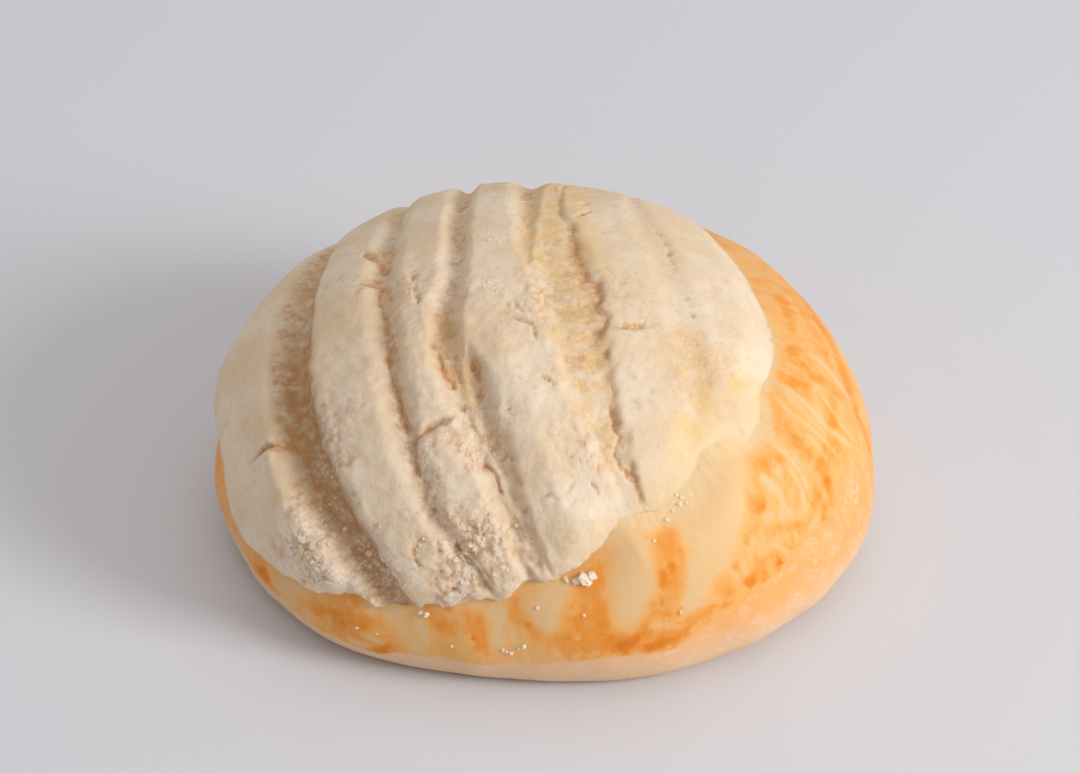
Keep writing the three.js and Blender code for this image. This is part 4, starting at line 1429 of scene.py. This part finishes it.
@dataclass
class Crumbs:
    """Loose crumbs of paste, in the crust's grooves and where it broke."""

    count: int = 150
    # The radius of the smallest, and how far the others spread above it.
    smallest: float = 0.14
    spread: float = 0.08
    sunk_share: float = 0.5
    # They lie in front of the crown: none nearer to it than the first, and all past the second.
    front_from: float = 24.0
    front_full: float = 38.0

    def build(self, crust: SugarCrust) -> bpy.types.Object:
        """Scatters the crumbs over the rough places of the crust.

        Args:
            crust: The crust, already built.

        Returns:
            The crumbs.
        """
        rng = np.random.default_rng(SEED + 1)
        grains = crust.grains
        in_front = smoothstep(-grains["skin"][:, 1], self.front_from, self.front_full)
        weight = grains["crumb"] ** 3 * (1 - grains["edge"]) * in_front
        chosen = rng.choice(len(weight), self.count, replace=False, p=weight / weight.sum())
        sizes = self.smallest + rng.gamma(1.7, self.spread, self.count)
        sunk = grains["points"][chosen] - self.sunk_share * sizes[:, None] * grains["normals"][chosen]
        piece = scatter("paste_crumbs", sunk, sizes, rng, fineness=2)
        piece.data.shade_smooth()
        return piece


@dataclass
class SugarDust:
    """White clumps of sugar and flour: [right, back, spread, grains]."""

    clumps: Sequence[tuple[float, float, float, int]] = (
        (-6.9, 5.8, 1.0, 12),
        (-6, 5, 0.8, 8),
        (-6.8, -4.7, 1.0, 12),
        (-6, -5.4, 0.9, 8),
        (-25.6, 0.9, 0.6, 6),
        (-26.4, 11.4, 0.8, 5),
        (-17.1, 3.3, 0.9, 6),
        (-15.7, -28.3, 0.7, 8),
        (-15.5, -30.1, 0.8, 9),
        (-16.3, -31.3, 0.6, 6),
        (-14.1, -40.2, 0.6, 5),
        (-8.3, -42.2, 0.6, 4),
        (-35.2, -33.4, 1.2, 8),
        (-12.4, -44, 1.6, 8),
        (-33, -39.6, 1.6, 8),
    )
    size: float = 0.1

    def build(self, crust: SugarCrust) -> bpy.types.Object:
        """Heaps the grains of every clump on the crust.

        Args:
            crust: The crust, already built.

        Returns:
            The grains.
        """
        rng = np.random.default_rng(SEED + 2)
        chosen: list[int] = []
        for right, back, spread, count in self.clumps:
            wanted = np.array([right, back]) + rng.normal(0, spread / 1.7, (count, 2))
            for place in wanted:
                gaps = ((crust.grains["skin"] - place) ** 2).sum(1)
                chosen.append(int(gaps.argmin()))
        sizes = self.size * rng.uniform(0.5, 1.7, len(chosen))
        return scatter("sugar_dust", crust.grains["points"][chosen], sizes, rng)


@dataclass
class LooseBits:
    """Crumbs that fell on the bare skin beside the crust: [right, back, radius]."""

    bed: Bed
    places: Line = (
        (6.6, -45.9, 0.8),
        (7.6, -45.5, 0.6),
        (5.2, -46.3, 0.5),
        (3.6, -46.2, 0.4),
        (-20.5, -49.9, 0.5),
        (-21.2, -49.5, 0.4),
        (-16.8, -54.6, 0.25),
        (-7.4, -55.9, 0.3),
        (-6.7, -56.2, 0.25),
        (-5.9, -56.5, 0.28),
        (-4.3, -55.7, 0.28),
        (-3.4, -55.4, 0.32),
        (22.7, -47.9, 0.25),
        (-34.3, -48.5, 0.22),
        (-31, -50.5, 0.2),
    )

    def build(self) -> bpy.types.Object:
        """Sets the crumbs on the skin.

        Returns:
            The crumbs.
        """
        rng = np.random.default_rng(SEED + 3)
        table = np.array(self.places)
        skin, sizes = table[:, :2], table[:, 2]
        points = self.bed.dough(skin, self.bed.within(skin))
        return scatter("fallen_crumbs", points, sizes, rng, fineness=2)


@dataclass
class SugarCrystals:
    """Clear sugar crystals stuck in the wash beside the crust: [right, back, width]."""

    bed: Bed
    places: Line = (
        (20, -33.4, 0.42),
        (19.7, -34.3, 0.5),
        (18, -36.7, 0.45),
        (20.7, -33.9, 0.32),
        (18.8, -35.4, 0.32),
        (19.2, -33.1, 0.35),
        (16.4, -39.6, 0.35),
        (6.8, -50.5, 0.35),
        (-0.9, -49.9, 0.4),
    )
    bevel_share: float = 0.12

    def build(self) -> bpy.types.Object:
        """Sets bevelled cubes of sugar on the skin.

        Returns:
            The crystals.
        """
        rng = np.random.default_rng(SEED + 4)
        table = np.array(self.places)
        skin = table[:, :2]
        points = self.bed.dough(skin, self.bed.within(skin))
        bm = bmesh.new()
        for point, width in zip(points, table[:, 2]):
            turn = Euler(rng.uniform(0, math.pi, 3)).to_matrix().to_4x4()
            place = Matrix.Translation(Vector(point * MM)) @ turn @ Matrix.Diagonal((*[width * MM] * 3, 1.0))
            made = bmesh.ops.create_cube(bm, size=1.0, matrix=place)
            edges = list({edge for vert in made["verts"] for edge in vert.link_edges})
            cut = self.bevel_share * width * MM
            bmesh.ops.bevel(bm, geom=edges, offset=cut, segments=1, profile=0.5, affect="EDGES", material=-1)
        piece = mesh_object("sugar_crystals", bm)
        piece.data.shade_flat()
        return piece


def scatter(
    name: str, points: np.ndarray, sizes: np.ndarray, rng: np.random.Generator, fineness: int = 1
) -> bpy.types.Object:
    """Joins many uneven crumbs into one piece.

    Args:
        name: The piece's name.
        points: Where each crumb lies, in millimetres.
        sizes: Their radii.
        rng: Seeded random numbers.
        fineness: Subdivisions of each crumb.

    Returns:
        The piece.
    """
    bm = bmesh.new()
    for point, size in zip(points, sizes):
        stretch = size * rng.uniform(0.65, 1.25, 3) * MM
        turn = Euler(rng.uniform(0, 2 * math.pi, 3)).to_matrix().to_4x4()
        place = Matrix.Translation(Vector(point * MM)) @ turn
        whole = place @ Matrix.Diagonal((*stretch, 1.0))
        bmesh.ops.create_icosphere(bm, subdivisions=fineness, radius=1.0, matrix=whole)
    piece = mesh_object(name, bm)
    flat = read_points(piece) / MM
    repeat = len(flat) // len(sizes)
    radii = np.repeat(sizes, repeat)[:, None]
    push = np.column_stack([grain(flat / radii, 0.9, 41 + k) for k in range(3)])
    write_points(piece, flat + 0.6 * push * radii)
    piece.data.shade_flat()
    return piece


# ------------------------------------------------------------------------------------------ finishes


class NodeTree:
    """A material's nodes, laid out one after another."""

    def __init__(self, name: str) -> None:
        """Starts an empty material of that name.

        Args:
            name: The material's name.
        """
        self.material = bpy.data.materials.new(name)
        self.material.use_nodes = True
        self.tree = self.material.node_tree
        self.tree.nodes.clear()

    def add(self, kind: str, settings: dict[str, Any] | None = None, **inputs: Any) -> bpy.types.Node:
        """Adds a node with its settings and links.

        Args:
            kind: Blender's name of the node.
            settings: Properties of the node; "ramp" holds (position, colour) pairs.
            inputs: What its sockets read, by name or as in0, in1: a value or another node's socket.

        Returns:
            The node.
        """
        node = self.tree.nodes.new("ShaderNode" + kind)
        node.location = (220 * len(self.tree.nodes), 0)
        for key, value in (settings or {}).items():
            if key == "ramp":
                for number, (position, colour) in enumerate(value):
                    while len(node.color_ramp.elements) <= number:
                        node.color_ramp.elements.new(1.0)
                    element = node.color_ramp.elements[number]
                    element.position, element.color = position, colour
            else:
                setattr(node, key, value)
        for key, value in inputs.items():
            numbered = key.startswith("in") and key[2:].isdigit()
            socket = node.inputs[int(key[2:])] if numbered else node.inputs[key.replace("_", " ")]
            if isinstance(value, bpy.types.NodeSocket):
                self.tree.links.new(value, socket)
            else:
                socket.default_value = value
        return node

    def field(self, name: str) -> bpy.types.NodeSocket:
        """A number kept on the piece's vertices."""
        return self.add("Attribute", {"attribute_name": name}).outputs["Fac"]

    def math(self, operation: str, *values: Any, clamp: bool = False) -> bpy.types.NodeSocket:
        """One arithmetic step on values and sockets."""
        inputs = {f"in{i}": value for i, value in enumerate(values)}
        return self.add("Math", {"operation": operation, "use_clamp": clamp}, **inputs).outputs[0]

    def step(self, value: Any, low: float, high: float, top: float = 1.0) -> bpy.types.NodeSocket:
        """A smooth step of a socket, from 0 at low to top at high.

        Args:
            value: The socket.
            low: Where it begins.
            high: Where it ends.
            top: What it reaches.

        Returns:
            The socket of the step.
        """
        settings = {"interpolation_type": "SMOOTHSTEP"}
        return self.add(
            "MapRange", settings, Value=value, From_Min=low, From_Max=high, To_Min=0.0, To_Max=top
        ).outputs[0]

    def texture(
        self, where: Any, size_mm: float, detail: float = 2.0, rough: float = 0.55
    ) -> bpy.types.NodeSocket:
        """Noise of a real size, from 0 to 1."""
        scale = 1.0 / size_mm
        return self.add("TexNoise", Vector=where, Scale=scale, Detail=detail, Roughness=rough).outputs[0]

    def blend(self, share: Any, low: Any, high: Any) -> bpy.types.NodeSocket:
        """A mix of two colours.

        Args:
            share: How much of the second shows.
            low: The first colour.
            high: The second colour.

        Returns:
            The socket of the mix.
        """
        node = self.add("Mix", {"data_type": "RGBA"})
        for socket, value in ((node.inputs[0], share), (node.inputs[6], low), (node.inputs[7], high)):
            if isinstance(value, bpy.types.NodeSocket):
                self.tree.links.new(value, socket)
            else:
                socket.default_value = value
        return node.outputs[2]

    def coat(self, colour: Any, over: str, *shares: Any) -> bpy.types.NodeSocket:
        """A colour with a hex colour laid over it, by the product of the shares.

        Args:
            colour: The colour underneath.
            over: The hex colour.
            shares: What its share is the product of.

        Returns:
            The socket of the mix.
        """
        share = shares[0]
        for other in shares[1:]:
            share = self.math("MULTIPLY", share, other)
        return self.blend(share, colour, linear(over))

    def finish(self, **inputs: Any) -> bpy.types.Material:
        """Ends the tree in a principled surface with those inputs, and its output.

        Args:
            inputs: What its sockets read, by name.

        Returns:
            The material.
        """
        surface = self.add("BsdfPrincipled", **inputs)
        self.add("OutputMaterial", Surface=surface.outputs[0])
        return self.material

    def object_mm(self) -> bpy.types.NodeSocket:
        """Object coordinates in millimetres."""
        where = self.add("TexCoord").outputs["Object"]
        return self.add("VectorMath", {"operation": "SCALE"}, in0=where, in3=1.0 / MM).outputs[0]


@dataclass(frozen=True)
class SugarPasteFinish:
    """Baked sugar paste: flour, fat and icing sugar, pressed on and dried in the oven.

    It is dead matt and cream-coloured, paler where flour lies on it, and golden brown in its cracks and pits,
    where the fat shows. Painted shade darkens its cuts and browns the seams between its crumbs and the
    bottoms of its pits and tears. Where it melted at the front right it is yellower.
    """

    cream: str = "#e3cca9"
    floury: str = "#e9d9bf"
    toasted: str = "#d8bb91"
    golden: str = "#e6c07e"
    # A darker brown for the painted shade in the cuts.
    hollow_shade: str = "#a67d4c"
    # The fat's brown, also used as painted shade in seams, pits and tears.
    crack_and_shade: str = "#bf803a"
    powder: str = "#eee3d0"
    melted: str = "#ebcd9c"
    crumb_mm: float = 1.25
    crumb_bend: float = 1.3
    roughness: float = 0.92
    glow: float = 0.2

    def make(self) -> bpy.types.Material:
        """Builds the paste's nodes.

        Returns:
            The material.
        """
        nodes = NodeTree("baked_sugar_paste")
        where = nodes.object_mm()
        broad = nodes.texture(where, 9.0, 3.0)
        fine = nodes.texture(where, 1.3, 3.0, 0.6)
        speck = nodes.texture(where, 0.42, 2.0, 0.6)
        crumbly = nodes.step(nodes.field("crumb"), 0.05, 0.6)
        colour = nodes.coat(linear(self.cream), self.floury, nodes.step(broad, 0.38, 0.68))
        colour = nodes.coat(colour, self.toasted, nodes.step(fine, 0.5, 0.78, 0.5))
        mottled = nodes.step(nodes.texture(where, 2.4, 3.0), 0.25, 0.65, 0.8)
        colour = nodes.coat(colour, self.golden, nodes.field("golden"), mottled)
        # Painted shade in the cuts, deepest where they are deep.
        colour = nodes.coat(colour, self.hollow_shade, nodes.field("hollow_shade"), nodes.step(fine, 0.0, 0.6, 0.86))

        # Crumbs pressed side by side, some floury and some browned, with seams darkened by painted shade and
        # the fat's brown.
        push = nodes.add("TexNoise", Vector=where, Scale=0.9, Detail=3.0, Roughness=0.6).outputs["Color"]
        reach = (self.crumb_bend,) * 3
        bent = nodes.add("VectorMath", {"operation": "MULTIPLY_ADD"}, in0=push, in1=reach, in2=where)
        packing = {"in0": bent.outputs[0], "Scale": 1.0 / self.crumb_mm}
        cell = nodes.add("TexVoronoi", {"feature": "F1"}, **packing).outputs["Color"]
        gap = nodes.add("TexVoronoi", {"feature": "DISTANCE_TO_EDGE"}, **packing).outputs["Distance"]
        sheltered = nodes.math("SUBTRACT", 1.0, nodes.step(nodes.field("hollow_shade"), 0.2, 0.9, 0.8))
        floured = nodes.step(cell, 0.5, 0.75, 0.65)
        colour = nodes.coat(colour, self.floury, crumbly, sheltered, floured)
        spotted = nodes.step(nodes.texture(where, 1.9, 3.0, 0.55), 0.56, 0.64, 0.4)
        colour = nodes.coat(colour, self.crack_and_shade, crumbly, spotted)
        # Painted shade with the fat's brown in the seams between crumbs.
        seam = nodes.math("SUBTRACT", 1.0, nodes.step(gap, 0.0, 0.25))
        colour = nodes.coat(colour, self.crack_and_shade, seam, crumbly, nodes.step(fine, 0.4, 0.65, 0.5))
        # Painted shade with the fat's brown in the low seams between lumps.
        colour = nodes.coat(colour, self.crack_and_shade, nodes.field("low"), 0.34)
        # Painted shade with the fat's brown at the bottoms of pits, crevices and tears.
        colour = nodes.coat(colour, self.crack_and_shade, nodes.field("pit"), nodes.step(speck, 0.2, 0.7, 0.8))
        colour = nodes.coat(colour, self.powder, nodes.field("powder"), nodes.step(speck, 0.35, 0.6, 0.8))
        colour = nodes.coat(colour, self.melted, nodes.field("melted"), 0.9)
        bump = nodes.add("Bump", Strength=0.5, Distance=0.00015, Height=speck)
        return nodes.finish(
            Base_Color=colour, Roughness=self.roughness, Normal=bump.outputs[0], Specular_IOR_Level=0.25,
            Subsurface_Weight=self.glow, Subsurface_Radius=(1.0, 0.62, 0.3), Subsurface_Scale=0.0012,
        )


@dataclass(frozen=True)
class EggWashedCrust:
    """Sweet bread crust: soft skin, brushed with egg and baked.

    The wash bakes to a satin golden orange in brushed patches, darker where it pooled. Smeared paste leaves
    pale streaks, and below the brushed line the skin stays pale and matt.
    """

    bare: str = "#f1ae65"
    bare_low: str = "#e9c49c"
    floured: str = "#f2dcc4"
    paste: str = "#ebcf9f"
    film: str = "#e6c089"
    light: str = "#efb266"
    wash: str = "#ec9a3c"
    deep: str = "#e58722"
    burnt: str = "#d06c18"
    roughness_wash: float = 0.5
    roughness_bare: float = 0.65
    glow: float = 0.15

    def make(self) -> bpy.types.Material:
        """Builds the skin's nodes.

        Returns:
            The material.
        """
        nodes = NodeTree("egg_washed_crust")
        where = nodes.object_mm()
        broad = nodes.texture(where, 7.0, 2.0)
        middle = nodes.texture(where, 2.4, 5.0, 0.62)
        fine = nodes.texture(where, 0.7, 3.0, 0.6)
        brush = nodes.add("Attribute", {"attribute_name": "brush"}).outputs["Vector"]
        brushed = nodes.texture(brush, 1.0, 3.0, 0.6)
        wander = nodes.math("MULTIPLY_ADD", middle, 7.0, nodes.math("MULTIPLY_ADD", fine, 2.0, -4.5))

        def marked(
            name: str, reach: float, outer: float, inner: float, top: float = 1.0
        ) -> bpy.types.NodeSocket:
            """The share of a mark: its edge wanders by a reach, and runs from outer to inner."""
            strayed = nodes.math("MULTIPLY_ADD", wander, reach, nodes.field(name))
            return nodes.step(strayed, outer, inner, top)

        # How dark the wash baked: 0 where paste veils it, 1 where it pooled.
        tone = nodes.math("MULTIPLY_ADD", middle, 0.5, 0.09)
        tone = nodes.math("MULTIPLY_ADD", brushed, 0.3, nodes.math("SUBTRACT", tone, 0.15))
        tone = nodes.math("MULTIPLY_ADD", broad, 0.4, nodes.math("SUBTRACT", tone, 0.2))
        for name, reach, outer, inner, top in (
            ("patches", 0.5, -0.9, 0.8, 0.17),
            ("halos", 0.6, -0.9, 0.8, 0.1),
            ("burns", 0.4, -0.7, 0.4, 0.24),
        ):
            tone = nodes.math("ADD", tone, marked(name, reach, outer, inner, top))
        hidden = nodes.step(nodes.texture(where, 6.5, 3.0), 0.48, 0.62, 0.25)
        tone = nodes.math("MULTIPLY_ADD", nodes.field("unseen"), hidden, tone)
        film = marked("films", 1.1, -1.9, 1.9, 0.28)
        film = nodes.math("MAXIMUM", film, marked("run", 0.8, -1.2, 2.2, 0.32))
        film = nodes.math("MAXIMUM", film, marked("streaks", 0.2, -0.5, 0.5, 0.2))
        film = nodes.math("MULTIPLY", film, nodes.math("MULTIPLY_ADD", brushed, 1.1, 0.45))
        tone = nodes.math("SUBTRACT", tone, film)
        positions = (0.16, 0.34, 0.54, 0.76, 1.0)
        baked = (self.film, self.light, self.wash, self.deep, self.burnt)
        ramp = [(position, linear(colour)) for position, colour in zip(positions, baked)]
        colour_wash = nodes.add("ValToRGB", {"ramp": ramp}, Fac=tone).outputs[0]
        smeared = marked("run", 0.4, -1.0, 2.6)
        colour_wash = nodes.coat(colour_wash, self.paste, smeared, nodes.step(brushed, 0.25, 0.55))

        height = nodes.add("SeparateXYZ", Vector=where).outputs["Z"]
        colour = nodes.coat(linear(self.bare_low), self.bare, nodes.step(height, 3.0, 11.0))
        flecked = nodes.step(fine, 0.3, 0.72, 0.45)
        colour = nodes.coat(colour, self.floured, nodes.step(middle, 0.4, 0.66), flecked)
        washed = marked("washed", 0.25, -0.35, 0.35)
        colour = nodes.blend(washed, colour, colour_wash)
        matt = nodes.math("MAXIMUM", film, nodes.math("SUBTRACT", 1.0, washed))
        duller = self.roughness_bare - self.roughness_wash
        rough = nodes.math("MULTIPLY_ADD", matt, duller, self.roughness_wash)
        relief = nodes.math("MULTIPLY_ADD", fine, 0.6, middle)
        bump = nodes.add("Bump", Strength=0.2, Distance=0.00022, Height=relief)
        return nodes.finish(
            Base_Color=colour, Roughness=rough, Normal=bump.outputs[0], Specular_IOR_Level=0.25,
            Subsurface_Weight=self.glow, Subsurface_Radius=(1.0, 0.5, 0.2), Subsurface_Scale=0.0018,
        )


@dataclass(frozen=True)
class DryGrain:
    """Dry sugar, flour or paste in grains: dead matt and pale."""

    name: str
    colour: str
    tinted: str

    def make(self) -> bpy.types.Material:
        """Builds the grain's nodes.

        Returns:
            The material.
        """
        nodes = NodeTree(self.name)
        mottle = nodes.step(nodes.texture(nodes.object_mm(), 0.8, 2.0), 0.35, 0.7)
        colour = nodes.coat(linear(self.colour), self.tinted, mottle)
        return nodes.finish(
            Base_Color=colour, Roughness=0.9, Specular_IOR_Level=0.3, Subsurface_Weight=0.2,
            Subsurface_Radius=(1.0, 0.8, 0.6), Subsurface_Scale=0.0006,
        )


@dataclass(frozen=True)
class ClearSugar:
    """Granulated sugar: clear crystals whose faces catch the light."""

    colour: str = "#f6e2c2"

    def make(self) -> bpy.types.Material:
        """Builds the crystal's nodes.

        Returns:
            The material.
        """
        nodes = NodeTree("granulated_sugar")
        return nodes.finish(
            Base_Color=linear(self.colour), Roughness=0.3, IOR=1.54, Coat_Weight=0.2,
            Subsurface_Weight=0.3, Subsurface_Radius=(1.0, 1.0, 1.0), Subsurface_Scale=0.0004,
        )


@dataclass(frozen=True)
class PaleFloor:
    """A plain pale matt floor."""

    colour: str = "#d8dadd"

    def make(self) -> bpy.types.Material:
        """Builds the floor's nodes."""
        nodes = NodeTree("pale_floor")
        return nodes.finish(Base_Color=linear(self.colour), Roughness=0.85)


# ---------------------------------------------------------------------------------------- the studio


@dataclass(frozen=True)
class SoftLight:
    """A square soft light that faces the bun; lengths in metres."""

    name: str
    at: tuple[float, float, float]
    size: float
    watts: float
    colour: str
    aim: tuple[float, float, float] = (0.0, 0.0, 0.02)

    def build(self) -> None:
        """Hangs the light."""
        lamp = bpy.data.lights.new(self.name, "AREA")
        lamp.size = self.size
        lamp.energy = self.watts
        lamp.color = linear(self.colour)[:3]
        made = bpy.data.objects.new(self.name, lamp)
        made.location = self.at
        made.rotation_euler = (Vector(self.aim) - Vector(self.at)).to_track_quat("-Z", "Y").to_euler()
        bpy.context.scene.collection.objects.link(made)


@dataclass
class Studio:
    """The floor, lights and camera; lengths in metres."""

    lights: Sequence[SoftLight] = (
        SoftLight("window", (0.672, -0.336, 0.402), 0.3, 4.9, "#fefcfe"),
        SoftLight("ceiling", (0.0, 0.2, 1.15), 0.9, 2.0, "#fffdfa"),
    )
    surroundings: str = "#f2ecef"
    surroundings_strength: float = 0.56
    floor_size: float = 6.0
    elevation: float = math.radians(38)
    camera_at: tuple[float, float, float] = (-0.00032, -0.4614, 0.3808)
    focal_mm: float = 150.0

    def build(self) -> None:
        """Sets up the floor, the light and the camera."""
        bm = bmesh.new()
        bmesh.ops.create_grid(bm, x_segments=1, y_segments=1, size=self.floor_size / 2)
        floor = mesh_object("floor", bm)
        floor.data.materials.append(PaleFloor().make())
        for light in self.lights:
            light.build()
        self._world()
        camera = bpy.data.objects.new("camera", bpy.data.cameras.new("camera"))
        camera.data.lens = self.focal_mm
        camera.data.sensor_width = 36.0
        camera.data.clip_start = 0.01
        camera.location = self.camera_at
        camera.rotation_euler = (math.pi / 2 - self.elevation, 0.0, 0.0)
        bpy.context.scene.collection.objects.link(camera)
        bpy.context.scene.camera = camera
        bpy.context.scene.view_settings.view_transform = "Standard"

    def _world(self) -> None:
        """Even light from all round."""
        world = bpy.data.worlds.new("studio")
        world.use_nodes = True
        background = world.node_tree.nodes["Background"]
        background.inputs[0].default_value = linear(self.surroundings)
        background.inputs[1].default_value = self.surroundings_strength
        bpy.context.scene.world = world


# ------------------------------------------------------------------------------- putting it together


def place(piece: bpy.types.Object, finish: Any, slot: str, replaces: str | None = None) -> None:
    """Dresses a piece and rides it on the row's one body.

    Args:
        piece: The piece.
        finish: What makes its material.
        slot: Not used.
        replaces: The CAD node that it stands for.
    """
    piece.data.materials.append(finish.make())
    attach(piece, "root")
    if replaces:
        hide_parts(replaces)
    log.info("%s: %d faces", piece.name, len(piece.data.polygons))


def main() -> None:
    """Builds the concha and its studio."""
    logging.basicConfig(level=logging.INFO, format="%(name)s: %(message)s")
    bed = Bed(DomeForm())
    place(Bun(bed).build(), EggWashedCrust(), "bread", "bun")
    crust = SugarCrust(bed)
    place(crust.build(), SugarPasteFinish(), "sugar_paste", "sugar_crust")
    crumb = DryGrain("paste_crumb", "#e6d3b4", "#dcc39c")
    place(Crumbs().build(crust), crumb, "sugar_paste")
    place(LooseBits(bed).build(), DryGrain("fallen_crumb", "#f2e6d2", "#e6d2b0"), "sugar_paste")
    place(SugarDust().build(crust), DryGrain("white_sugar", "#e9dcc6", "#e0ceb0"), "sugar_paste")
    place(SugarCrystals(bed).build(), ClearSugar(), "sugar_paste")
    Studio().build()


if __name__ == "__main__":
    main()
